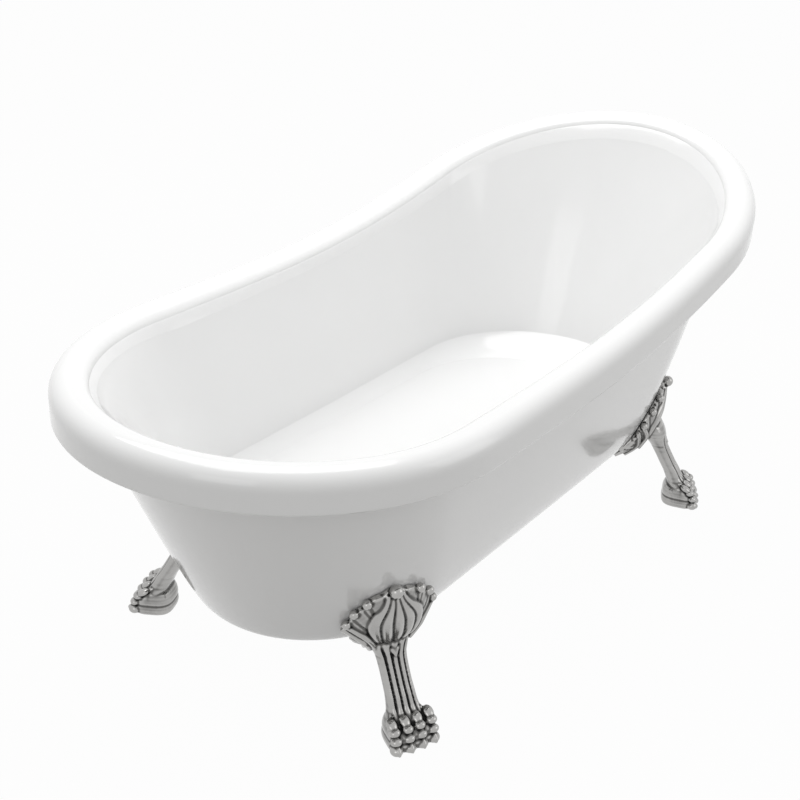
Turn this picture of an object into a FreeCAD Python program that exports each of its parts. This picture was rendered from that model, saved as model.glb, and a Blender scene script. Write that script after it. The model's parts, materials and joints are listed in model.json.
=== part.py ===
import FreeCAD, Part
import math
import os
import Sketcher
from FreeCAD import Vector

# A slipper bathtub on four claw feet. Lengths are in millimetres.
# +X runs to the high backrest end, -X to the low foot end, +Z is up, and the
# origin is on the floor under the middle of the tub. "Left" is the bather's left, -Y.

doc = FreeCAD.newDocument("clawfoot_bathtub")

SIZES = {
    # overall outline of the rolled rim
    "bath_length": 1700.0,
    "bath_width": 775.0,
    "low_cap_ratio": 1.10,
    "high_cap_ratio": 1.06,
    # height of the rim's crest along the bath
    "rim_low_height": 617.0,
    "rim_dip_height": 594.0,
    "rim_high_height": 772.0,
    "rim_dip_station": -250.0,
    # the rolled rim in section
    "rim_top_width": 65.0,
    "outer_roll": 30.0,
    "inner_roll": 18.0,
    "rim_fall": 6.0,
    "band_depth": 66.0,
    "acrylic": 5.0,
    # the well inside the tub
    "floor_height": 255.0,
    "floor_half_width": 212.0,
    "floor_low_end": -545.0,
    "floor_high_end": 452.0,
    "well_foot_rise": 30.0,
    "well_half_width": 250.0,
    "well_low_end": -606.0,
    "well_high_end": 588.0,
    # the outer skirt
    "skirt_thickness": 4.0,
    "skirt_inset": 61.0,
    "skirt_side_draw": 130.0,
    "skirt_low_draw": 184.0,
    "skirt_high_draw": 321.0,
    "skirt_bottom": 160.0,
    "seat_gap": 0.3,
    # board and rails under the well
    "board_thickness": 18.0,
    "board_half_width": 205.0,
    "board_low_end": -545.0,
    "board_high_end": 512.0,
    "board_drain_hole": 46.0,
    "rail_width": 26.0,
    "rail_height": 30.0,
    "rail_wall": 2.5,
    "screw_radius": 2.5,
    "screw_head_radius": 4.5,
    "screw_head_height": 3.0,
    "screw_bite": 12.0,
    "screw_side": 92.0,
    "low_rail_offset": 34.0,
    "high_rail_offset": 44.0,
    # claw feet: stations round the ends of the skirt
    "low_foot_angle": 66.0,
    "high_foot_angle": 64.0,
    "anchor_height": 230.0,
    "leaf_base_height": 176.0,
    "leaf_height": 128.0,
    "leaf_wing": 106.0,
    "leaf_edge": 7.0,
    "leaf_dome": 25.0,
    "leaf_flute": 3.2,
    "ankle_height": 58.0,
    "leg_half_width": 31.0,
    "leg_depth": 19.0,
    "leg_top_height": 196.0,
    "paw_half_width": 49.0,
    "low_paw_reach": 67.0,
    "high_paw_reach": 97.0,
    "paw_length": 80.0,
    "paw_clearance": 3.0,
    # foot fixings: two bolts to each foot, through a curved plate inside the skirt
    "plate_thickness": 4.0,
    "plate_half_width": 42.0,
    "plate_bottom": 170.0,
    "plate_top": 264.0,
    "bolt_radius": 5.0,
    "bolt_seat": 8.0,
    "bolt_length": 20.0,
    "bolt_hole_gap": 0.3,
    "bolt_spread": 23.0,
    "bolt_station": 226.0,
    "head_radius": 9.2,
    "head_height": 6.4,
    # levelling stud and pad under each paw
    "pad_radius": 17.0,
    "pad_height": 9.0,
    "stud_setback": 14.0,
    "stud_radius": 5.0,
    "stud_length": 43.0,
    "stud_collar_radius": 9.0,
    "stud_collar_height": 5.0,
    "running_gap": 0.05,
    # waste, near the low end of the floor
    "drain_station": -400.0,
    "drain_hole": 26.0,
    "skirt_drain_hole": 34.0,
    "flange_radius": 35.0,
    "flange_thickness": 2.5,
    "flange_tube_radius": 24.0,
    "flange_bore": 21.0,
    "flange_tube_length": 44.0,
    "seal_thickness": 2.0,
    "gasket_thickness": 3.0,
    "gasket_radius": 37.0,
    "waste_rim_radius": 38.0,
    "waste_rim_thickness": 4.0,
    "waste_body_radius": 30.0,
    "waste_body_bottom": 168.0,
    "chamber_radius": 26.0,
    "chamber_wall": 4.0,
    "spigot_radius": 25.0,
    "spigot_bottom": 148.0,
    "tail_radius": 19.05,
    "tail_wall": 1.5,
    "tail_bottom": 112.0,
    "tail_top": 178.0,
    "tail_outlet_length": 25.0,
    "tail_neck_radius": 18.75,
    "tail_nut_radius": 31.0,
    "tail_nut_height": 20.0,
    "tail_nut_lip": 9.0,
    "plug_radius": 29.0,
    "plug_edge": 2.5,
    "plug_rise": 4.0,
    "plug_seal_radius": 27.0,
    "plug_stem_radius": 4.0,
    "plug_stem_drop": 26.0,
    "guide_radius": 8.0,
    "guide_height": 10.0,
    "guide_drop": 10.0,
    "guide_arm": 4.0,
    # overflow, high on the low end's inner wall
    "overflow_drop": 92.0,
    "overflow_hole": 20.0,
    "overflow_flat": 33.0,
    "overflow_back_flat": 27.0,
    "overflow_wall": 4.0,
    "overflow_flange_radius": 30.0,
    "overflow_flange_thickness": 3.0,
    "overflow_neck_radius": 19.0,
    "overflow_neck_length": 14.0,
    "overflow_bore": 15.0,
    "overflow_port_radius": 4.5,
    "overflow_port_circle": 10.0,
    "overflow_body_radius": 24.0,
    "overflow_body_depth": 24.0,
    "overflow_body_wall": 3.0,
    "overflow_seal_thickness": 2.5,
    "knob_radius": 35.0,
    "knob_height": 12.0,
    "knob_standoff": 4.0,
    "knob_lobes": 6.0,
    "knob_lobe_depth": 2.2,
    "shaft_radius": 4.0,
    "drum_radius": 9.0,
    "drum_thickness": 5.0,
    # overflow pipe and its control cable
    "pipe_radius": 10.0,
    "pipe_wall": 1.5,
    "pipe_upper_x": -648.0,
    "pipe_upper_z": 300.0,
    "pipe_lower_x": -594.0,
    "pipe_level": 186.0,
    "pipe_bend": 45.0,
    "port_radius": 12.5,
    "port_reach": 40.0,
    "waste_port_reach": 46.0,
    "port_overlap": 10.0,
    "pipe_nut_radius": 15.5,
    "pipe_nut_length": 12.0,
    "cable_radius": 2.5,
    "cable_side": 19.0,
    "cable_bend": 38.0,
}

sheet = doc.addObject("Spreadsheet::Sheet", "sizes")
for row, (alias, value) in enumerate(SIZES.items(), start=1):
    sheet.set("A%d" % row, alias)
    sheet.set("B%d" % row, str(value))
    sheet.setAlias("B%d" % row, alias)
doc.recompute()


def size(alias):
    """A driving dimension, read back from the sheet."""
    return float(getattr(sheet, alias))


NODES = []


def keep(item, label):
    """Give a finished sub-part its name and remember it for export."""
    item.Label = label
    NODES.append(item)
    return item


def shaped(label, shape):
    """A sub-part whose shape comes straight from the surface functions below."""
    item = doc.addObject("Part::Feature", label)
    item.Shape = shape
    return keep(item, label)


def worth(text):
    """Value of a sheet expression, for the first position of a sketch's point."""
    return float(sheet.evalExpression(text))


def origin_plane(body, role):
    return [feature for feature in body.Origin.OriginFeatures if feature.Role == role][0]


def closed_sketch(body, name, role, corners):
    """A closed outline in a body's own plane; each corner is a pair of sheet expressions."""
    sketch = body.newObject("Sketcher::SketchObject", name)
    sketch.AttachmentSupport = [(origin_plane(body, role), "")]
    sketch.MapMode = "FlatFace"
    points = [Vector(worth(across), worth(along), 0) for across, along in corners]
    count = len(points)
    for index in range(count):
        sketch.addGeometry(Part.LineSegment(points[index], points[(index + 1) % count]))
    for index in range(count):
        sketch.addConstraint(Sketcher.Constraint("Coincident", index, 2, (index + 1) % count, 1))
    for index, corner in enumerate(corners):
        for kind, text in zip(("DistanceX", "DistanceY"), corner):
            rule = sketch.addConstraint(Sketcher.Constraint(kind, index, 1, worth(text)))
            if "sizes." in text:
                sketch.setExpression("Constraints[%d]" % rule, text)
    return sketch


def turned(name, corners, placement=None):
    """A turned piece from its half section: corners are (radius, height) sheet expressions."""
    body = doc.addObject("PartDesign::Body", name)
    sketch = closed_sketch(body, name + "_section", "XZ_Plane", corners)
    turn = body.newObject("PartDesign::Revolution", name + "_turn")
    turn.Profile = sketch
    turn.ReferenceAxis = (sketch, ["V_Axis"])
    turn.Angle = 360
    body.Placement = placement or FreeCAD.Placement()
    doc.recompute()
    return body


def ring_section(inner, outer, bottom, top):
    """Half section of a plain ring."""
    return [(inner, bottom), (outer, bottom), (outer, top), (inner, top)]


def raised(x, y, z, lean=None):
    """A placement at a point, with its axis along a direction when one is given."""
    spin = FreeCAD.Rotation()
    if lean is not None:
        spin = FreeCAD.Rotation(Vector(0, 0, 1), lean)
    return FreeCAD.Placement(Vector(x, y, z), spin)


def polygon(sides, radius):
    """A flat regular polygon about the origin."""
    step = 2 * math.pi / sides
    corners = [Vector(radius * math.cos(step * turn), radius * math.sin(step * turn), 0)
               for turn in range(sides + 1)]
    return Part.Face(Part.makePolygon(corners))


def hexagon(radius):
    return polygon(6, radius)


def copies(shape, placements):
    """Several copies of one shape as a group of solids."""
    group = []
    for placement in placements:
        twin = shape.copy()
        twin.Placement = placement.multiply(shape.Placement)
        group.append(twin)
    return Part.makeCompound(group)


def biggest(shape):
    return max(shape.Solids, key=lambda piece: piece.Volume)


# ---------------------------------------------------------------------------
# Outline of the tub: two straight sides and two half-ellipse ends
# ---------------------------------------------------------------------------

CAP_STEPS = 12
SIDE_STEPS = 3
HALF_LENGTH = size("bath_length") / 2
HALF_WIDTH = size("bath_width") / 2


def stations():
    """Walk once round the tub as (part, share, side): an angle on an end, a share on a side."""
    walk = []
    for step in range(CAP_STEPS):
        walk.append(("low", 90.0 * step / CAP_STEPS, -1))
    for step in range(SIDE_STEPS):
        walk.append(("side", step / SIDE_STEPS, -1))
    for step in range(CAP_STEPS):
        walk.append(("high", 90.0 - 90.0 * step / CAP_STEPS, -1))
    for step in range(CAP_STEPS):
        walk.append(("high", 90.0 * step / CAP_STEPS, 1))
    for step in range(SIDE_STEPS):
        walk.append(("side", 1.0 - step / SIDE_STEPS, 1))
    for step in range(CAP_STEPS):
        walk.append(("low", 90.0 - 90.0 * step / CAP_STEPS, 1))
    return walk


def outline_point(place, low_end, high_end, half_width):
    """One point of a stadium that runs from low_end to high_end."""
    part, share, side = place
    low_cap = size("low_cap_ratio") * half_width
    high_cap = size("high_cap_ratio") * half_width
    if part == "low":
        angle = math.radians(share)
        return low_end + low_cap * (1 - math.cos(angle)), side * half_width * math.sin(angle)
    if part == "high":
        angle = math.radians(share)
        return high_end - high_cap * (1 - math.cos(angle)), side * half_width * math.sin(angle)
    start = low_end + low_cap
    finish = high_end - high_cap
    return start + (finish - start) * share, side * half_width


def rim_height(x):
    """Crest of the rim: a shallow dip near the low end, then the long rise of the backrest."""
    dip = size("rim_dip_station")
    if x < dip:
        share = (dip - x) / (dip + HALF_LENGTH)
        return size("rim_dip_height") + (size("rim_low_height") - size("rim_dip_height")) * share ** 2
    share = (x - dip) / (HALF_LENGTH - dip)
    climb = share ** 2 * (1 - (1 - share) ** 3)
    return size("rim_dip_height") + (size("rim_high_height") - size("rim_dip_height")) * climb


def crest(place):
    """Rim height abreast of a station, the same for every ring of the rim."""
    x, y = outline_point(place, -HALF_LENGTH, HALF_LENGTH, HALF_WIDTH)
    return rim_height(x)


def rim_ring(inset, below_crest):
    """A ring of the rim, set in from its outer edge and down from its crest."""
    ring = []
    for place in WALK:
        x, y = outline_point(place, inset - HALF_LENGTH, HALF_LENGTH - inset, HALF_WIDTH - inset)
        ring.append(Vector(x, y, crest(place) - below_crest))
    return ring


WALK = stations()[1:] + stations()[:1]


def well_point(place, depth):
    """Inner wall of the well: depth 0 under the rim's inner roll, 1 at the foot of the wall."""
    top = size("rim_top_width")
    low = top - HALF_LENGTH
    low += (size("well_low_end") - low) * depth ** 0.75
    high = HALF_LENGTH - top
    high += (size("well_high_end") - high) * depth
    half = HALF_WIDTH - top
    half += (size("well_half_width") - half) * depth
    x, y = outline_point(place, low, high, half)
    top_height = crest(place) - size("rim_fall") - size("inner_roll")
    foot_height = size("floor_height") + size("well_foot_rise")
    return Vector(x, y, top_height + (foot_height - top_height) * depth)


WELL_DEPTHS = (1.0, 0.66, 0.33, 0.0)
SKIRT_ROUND = 4.4
COVE_SHARE = 0.62
COVE_RISE = 0.2
SKIRT_LEVELS = (0.0, 0.3, 0.6, 0.8, 0.9, 0.96, 1.0)
FLARE_SHARE = 0.64


def skirt_point(place, level, depth=0.0):
    """The skirt, from level 0 at the band's lower edge to 1 at the flat bottom.

    Depth 0 is its outer face and a positive depth lies inside it.
    """
    tuck = 1 - (1 - level ** SKIRT_ROUND) ** (1 / SKIRT_ROUND)
    inset = size("skirt_inset") + depth
    half = HALF_WIDTH - inset - size("skirt_side_draw") * (0.56 * level + 0.44 * tuck)
    low = inset - HALF_LENGTH + size("skirt_low_draw") * (0.94 * level + 0.06 * tuck)
    high = HALF_LENGTH - inset - size("skirt_high_draw") * (0.47 * level + 0.53 * tuck)
    x, y = outline_point(place, low, high, half)
    top = crest(place) - size("band_depth")
    return Vector(x, y, top + (size("skirt_bottom") + depth - top) * level)


# ---------------------------------------------------------------------------
# Thin shells from rings of points
# ---------------------------------------------------------------------------

def normals(rings, row):
    """Unit normals along one ring, pointing left of its walk direction."""
    above = rings[max(row - 1, 0)]
    below = rings[min(row + 1, len(rings) - 1)]
    count = len(rings[row])
    result = []
    for index in range(count):
        along = rings[row][(index + 1) % count] - rings[row][index - 1]
        down = below[index] - above[index]
        normal = along.cross(down)
        normal.normalize()
        result.append(normal)
    return result


def backed(rings, thickness):
    """The same rings moved through the sheet's thickness, square to the surface."""
    moved = []
    for row in range(len(rings)):
        shifts = normals(rings, row)
        moved.append([p + n * thickness for p, n in zip(rings[row], shifts)])
    return moved


def levelled(ring, height):
    """A ring laid flat at one height."""
    return [Vector(p.x, p.y, height) for p in ring]


def triangle(a, b, c):
    return Part.Face(Part.makePolygon([a, b, c, a]))


def skin(rings):
    """Flat facets between each ring and the next."""
    faces = []
    for here, there in zip(rings, rings[1:]):
        count = len(here)
        for index in range(count):
            after = (index + 1) % count
            faces.append(triangle(here[index], here[after], there[after]))
            faces.append(triangle(here[index], there[after], there[index]))
    return faces


def flat(ring):
    return Part.Face(Part.makePolygon(ring + ring[:1]))


def closed_solid(faces):
    shell = Part.Shell(faces)
    shell.sewShape()
    body = Part.Solid(shell)
    if body.Volume < 0:
        shell.reverse()
        body = Part.Solid(shell)
    return body


def basin_solid():
    """Inner sheet: dished floor, walls, the rolled rim and the deep band round it."""
    roll_in = size("inner_roll")
    roll_out = size("outer_roll")
    fall = size("rim_fall")
    top = size("rim_top_width")
    floor = [outline_point(p, size("floor_low_end"), size("floor_high_end"),
                           size("floor_half_width")) for p in WALK]
    floor_ring = [Vector(x, y, size("floor_height")) for x, y in floor]
    foot_ring = [well_point(p, 1.0) for p in WALK]
    cove_ring = []
    for inner, outer in zip(floor_ring, foot_ring):
        middle = inner + (outer - inner) * COVE_SHARE
        middle.z = size("floor_height") + size("well_foot_rise") * COVE_RISE
        cove_ring.append(middle)
    wall = [[well_point(p, depth) for p in WALK] for depth in WELL_DEPTHS[1:]]
    rolls = []
    for angle in (45, 90):
        turn = math.radians(angle)
        rolls.append(rim_ring(top - roll_in * (1 - math.cos(turn)), fall + roll_in * (1 - math.sin(turn))))
    for angle in (90, 60, 30, 0):
        turn = math.radians(angle)
        rolls.append(rim_ring(roll_out * (1 - math.cos(turn)), roll_out * (1 - math.sin(turn))))
    band = [rim_ring(0.0, size("band_depth"))]
    front = [floor_ring, cove_ring, foot_ring] + wall + rolls + band
    back = backed(front, size("acrylic"))
    back[0] = levelled(floor_ring, size("floor_height") - size("acrylic"))
    back[-1] = rim_ring(size("acrylic"), size("band_depth"))
    return closed_solid(skin(front + back[::-1]) + [flat(front[0]), flat(back[0])])


def skirt_rings(depth, levels):
    """Rings of the skirt at a depth, from the flare under the rim down to the bottom."""
    under_rim = size("rim_fall") + size("acrylic") + 2 * size("seat_gap")
    flare = rim_ring(size("rim_top_width") * FLARE_SHARE + depth, under_rim)
    return [flare] + [[skirt_point(p, level, depth) for p in WALK] for level in levels]


def skirt_sheet(outer_depth, inner_depth):
    """A sheet that follows the skirt between two depths: the skirt itself, or room beside it."""
    outer = skirt_rings(outer_depth, SKIRT_LEVELS)
    inner = skirt_rings(inner_depth, SKIRT_LEVELS)
    return closed_solid(skin(outer[::-1] + inner) + [flat(outer[-1]), flat(inner[-1])])


# ---------------------------------------------------------------------------
# Places on the skirt, for what is bolted to it
# ---------------------------------------------------------------------------

CORNERS = [("low", -1, "low_left"), ("low", 1, "low_right"),
           ("high", -1, "high_left"), ("high", 1, "high_right")]


def skirt_place(end, side, along, height):
    """Outer face of the skirt at a height, a distance along it from the foot's own station."""
    station = size(end + "_foot_angle")
    level = skirt_level((end, station, side), height)
    step = 0.5
    near = skirt_point((end, station - step, side), level)
    far = skirt_point((end, station + step, side), level)
    per_degree = near.distanceToPoint(far) / (2 * step)
    angle = station - along / per_degree
    if angle <= 90:
        place = (end, angle, side)
    else:
        first = skirt_point(("side", 0.0, side), level)
        last = skirt_point(("side", 1.0, side), level)
        share = (angle - 90) * per_degree / first.distanceToPoint(last)
        place = ("side", share if end == "low" else 1 - share, side)
    return skirt_point(place, skirt_level(place, height))


def skirt_level(place, height):
    top = crest(place) - size("band_depth")
    return min((top - height) / (top - size("skirt_bottom")), 1.0)


def skirt_normal(end, side, along, height):
    """Outward unit normal of the skirt there."""
    step = 1.0
    across = skirt_place(end, side, along + step, height) - skirt_place(end, side, along - step, height)
    upward = skirt_place(end, side, along, height + step) - skirt_place(end, side, along, height - step)
    normal = across.cross(upward)
    normal.normalize()
    if normal.y * side < 0:
        normal = normal * -1
    return normal


def off_skirt(end, side, along, height, distance):
    """A point standing a distance out from the skirt, or inside it when negative."""
    return skirt_place(end, side, along, height) + skirt_normal(end, side, along, height) * distance


def foot_axes(end, side):
    """Anchor on the skirt, level outward direction and level sideways direction of a foot."""
    anchor = skirt_place(end, side, 0, size("anchor_height"))
    outward = skirt_normal(end, side, 0, size("anchor_height"))
    outward.z = 0
    outward.normalize()
    sideways = Vector(0, 0, 1).cross(outward)
    return anchor, outward, sideways


def foot_spot(end, side, reach, across, height):
    """A point of a foot's own frame: reach outward, across sideways, height above the floor."""
    anchor, outward, sideways = foot_axes(end, side)
    spot = anchor + outward * reach + sideways * across
    return Vector(spot.x, spot.y, height)


def capped(rings):
    """A solid from closed rings of equally many points, each end closed by a fan of facets."""
    faces = skin(rings)
    for ring in (rings[0], rings[-1]):
        middle = Vector(0, 0, 0)
        for point in ring:
            middle += point * (1.0 / len(ring))
        for index in range(len(ring)):
            faces.append(triangle(middle, ring[index], ring[(index + 1) % len(ring)]))
    return closed_solid(faces)


# ---------------------------------------------------------------------------
# Claw feet: a fluted leaf crown on the skirt, a fluted leg and a four-toed paw
# ---------------------------------------------------------------------------

LEAF_COLUMNS = 15
LEAF_SPAN = 100.0
LEAF_WING_ANGLE = 55.0
LEAF_FLUTES = 7
LEAF_ROOT = 0.14
LEAF_SHARES = (LEAF_ROOT, 0.45, 0.78, 1.0)
FOOT_POINTS = 24
TOES = 4


def leaf_reach(angle):
    """Distance from the leaf's root to its edge, in a direction measured from straight up."""
    tall = size("leaf_height")
    wing = size("leaf_wing")
    lean = abs(angle)
    if lean <= LEAF_WING_ANGLE:
        reach = tall + (wing - tall) * lean / LEAF_WING_ANGLE
    else:
        reach = wing * (1 - 0.62 * (lean - LEAF_WING_ANGLE) / (LEAF_SPAN - LEAF_WING_ANGLE))
    return reach


def leaf_ridge(angle):
    """Height of the flutes: rounded ridges with sharp valleys between them."""
    return abs(math.cos(math.radians(90.0 * LEAF_FLUTES * angle / LEAF_SPAN)))


def leaf_solid(end, side):
    rings = []
    for column in range(LEAF_COLUMNS):
        angle = LEAF_SPAN * (2.0 * column / (LEAF_COLUMNS - 1) - 1)
        ridge = leaf_ridge(angle)
        reach = leaf_reach(angle) * (0.95 + 0.05 * ridge)
        turn = math.radians(angle)
        front = []
        back = []
        for share in LEAF_SHARES:
            along = reach * share * math.sin(turn)
            height = size("leaf_base_height") + reach * share * math.cos(turn)
            height = max(height, size("skirt_bottom") + 4)
            cup = 1 - share ** 2
            proud = size("leaf_edge") + size("leaf_dome") * cup + size("leaf_flute") * ridge * math.sqrt(share)
            front.append(off_skirt(end, side, along, height, proud))
            if share in (LEAF_ROOT, 1.0):
                back.append(off_skirt(end, side, along, height, size("seat_gap")))
        rings.append(front + back[::-1])
    return capped(rings)


def rounded(value, power):
    return math.copysign(abs(value) ** power, value)


def paw_ring(end, side, height, swell, pull):
    """One level of the paw: a broad toed front and a narrower rounded heel."""
    half_length = size("paw_length") / 2
    ring = []
    for index in range(FOOT_POINTS):
        turn = 2 * math.pi * index / FOOT_POINTS
        forward = rounded(math.cos(turn), 0.75)
        across = rounded(math.sin(turn), 0.75)
        width = size("paw_half_width") * (0.86 + 0.14 * forward) * swell
        lobe = abs(math.sin(0.5 * math.pi * TOES * (across + 1)))
        reach = half_length * forward * swell
        if forward > 0:
            reach += (5.0 * lobe - pull) * min(forward * 1.6, 1.0)
        ring.append(foot_spot(end, side, size(end + "_paw_reach") + reach, across * width, height))
    return ring


def leg_ring(end, side, height, reach, half_depth, half_width):
    """One level of the leg: four deep flutes in front, plain at the back."""
    ring = []
    for index in range(FOOT_POINTS):
        turn = 2 * math.pi * index / FOOT_POINTS
        forward = rounded(math.cos(turn), 0.85)
        across = rounded(math.sin(turn), 0.85)
        flute = 1.0
        if forward > 0:
            flute = 1 - 0.14 * (1 - abs(math.sin(0.5 * math.pi * 4 * (across + 1)))) * min(forward * 2, 1.0)
        ring.append(foot_spot(end, side, reach + half_depth * forward * flute, half_width * across, height))
    return ring


def leg_and_paw(end, side):
    base = size("paw_clearance")
    ankle = size("ankle_height")
    rings = [paw_ring(end, side, base, 0.94, 2),
             paw_ring(end, side, base + 8, 1.0, 0),
             paw_ring(end, side, base + 20, 0.99, 2),
             paw_ring(end, side, base + 27, 0.95, 9),
             paw_ring(end, side, base + 44, 0.84, 18)]
    reach = size(end + "_paw_reach")
    width = size("leg_half_width")
    depth = size("leg_depth")
    top = size("leg_top_height")
    rings.append(leg_ring(end, side, ankle, reach - 14, depth * 1.1, width * 1.02))
    rings.append(leg_ring(end, side, ankle + 24, reach - 27, depth, width * 0.92))
    rings.append(leg_ring(end, side, ankle + 62, reach - 48, depth, width * 0.94))
    rings.append(leg_ring(end, side, ankle + 100, reach - 66, depth * 1.05, width * 1.05))
    rings.append(leg_ring(end, side, top, reach - 86, depth * 1.1, width * 1.15))
    return capped(rings)


def bolt_heights():
    return [size("bolt_station") - size("bolt_spread"), size("bolt_station") + size("bolt_spread")]


def bolt_places(end, side):
    """Placements on the two bolt axes of a foot: on the skirt's outer face, pointing out."""
    places = []
    for height in bolt_heights():
        spot = skirt_place(end, side, 0, height)
        places.append(raised(spot.x, spot.y, spot.z, skirt_normal(end, side, 0, height)))
    return places


def under_head():
    """From a bolt's place on the skirt's outer face back to its head's seat."""
    return FreeCAD.Placement(Vector(0, 0, -size("bolt_seat")), FreeCAD.Rotation())


def bolt_hole(place, reach_in, reach_out):
    """A clearance hole along a bolt's axis."""
    hole = Part.makeCylinder(size("bolt_radius") + size("bolt_hole_gap"), reach_in + reach_out,
                             Vector(0, 0, -reach_in))
    hole.Placement = place
    return hole


def stud_spot(end, side, height):
    """A point on the levelling stud's axis, near the paw's heel."""
    return foot_spot(end, side, size(end + "_paw_reach") - size("stud_setback"), 0, height)


def collar_floor():
    return size("pad_height") + size("seat_gap")


def paw_roof():
    """Roof of the hollow under the paw, clear of the stud's collar."""
    return collar_floor() + size("stud_collar_height") + size("seat_gap")


def claw_foot(end, side, hull_room):
    """One casting: the leaf crown and the leg with its paw, hollowed and drilled."""
    casting = leaf_solid(end, side).fuse(leg_and_paw(end, side))
    upward = Vector(0, 0, 1)
    hollow = polygon(8, size("pad_radius") + 4).extrude(upward * paw_roof())
    hollow.translate(stud_spot(end, side, 0))
    bore = Part.makeCylinder(size("stud_radius") + size("running_gap"),
                             collar_floor() + size("stud_length") + 4, stud_spot(end, side, 0), upward)
    holes = [bolt_hole(place, size("skirt_thickness"), size("bolt_length") - 8)
             for place in bolt_places(end, side)]
    casting = casting.cut(hull_room)
    casting = biggest(casting).cut(Part.makeCompound([hollow, bore] + holes))
    return biggest(casting)


# ---------------------------------------------------------------------------
# Shells
# ---------------------------------------------------------------------------

def wall_place():
    """Centre of the overflow on the low end's inner wall, with the wall's inward normal."""
    height = size("rim_low_height") - size("overflow_drop")
    rings = [well_point(("low", 0.0, 1), depth) for depth in WELL_DEPTHS]
    for lower, upper in zip(rings, rings[1:]):
        if lower.z <= height <= upper.z:
            share = (height - lower.z) / (upper.z - lower.z)
            spot = lower + (upper - lower) * share
            slope = upper - lower
            normal = Vector(-slope.z, 0, slope.x)
            normal.normalize()
            if normal.x < 0:
                normal = normal * -1
            return spot, normal
    raise ValueError("the overflow is off the wall")


OVERFLOW, INWARD = wall_place()


def on_overflow(radius, start, finish):
    """A cylinder on the overflow's axis; distances run from the wall's face into the well."""
    return Part.makeCylinder(radius, finish - start, OVERFLOW + INWARD * start, INWARD)


def on_drain(radius, bottom, top):
    return Part.makeCylinder(radius, top - bottom, Vector(size("drain_station"), 0, bottom))


def make_basin():
    """The inner sheet, with flat seats for the overflow and the two waste holes."""
    front_seat = on_overflow(size("overflow_flat"), 0, size("overflow_flange_thickness"))
    back_seat = on_overflow(size("overflow_back_flat"), -3 * size("acrylic"), -size("overflow_wall"))
    hole = on_overflow(size("overflow_hole"), -2 * size("acrylic"), size("acrylic"))
    floor = size("floor_height")
    drain = on_drain(size("drain_hole"), floor - 2 * size("acrylic"), floor + 1)
    body = basin_solid().cut(Part.makeCompound([front_seat, back_seat, hole, drain]))
    return shaped("basin", biggest(body))


def make_outer_skirt():
    body = skirt_sheet(0.0, size("skirt_thickness"))
    bottom = size("skirt_bottom")
    cutters = [on_drain(size("skirt_drain_hole"), bottom - 1, bottom + 2 * size("skirt_thickness"))]
    for end, side, corner in CORNERS:
        cutters += [bolt_hole(place, 12, 12) for place in bolt_places(end, side)]
    return shaped("outer_skirt", biggest(body.cut(Part.makeCompound(cutters))))


# ---------------------------------------------------------------------------
# Board and rails under the well
# ---------------------------------------------------------------------------

def rail_station(end):
    """Middle of a rail: beside the foot's bolts, on their low side, clear of the waste."""
    return foot_axes(end, -1)[0].x - size(end + "_rail_offset")


def screw_spots():
    spots = []
    for end in ("low", "high"):
        for side in (-1, 1):
            spots.append(Vector(rail_station(end), side * size("screw_side"), 0))
    return spots


def board_top():
    return size("floor_height") - size("acrylic")


def rail_bottom():
    return board_top() - size("board_thickness") - size("rail_height")


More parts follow.
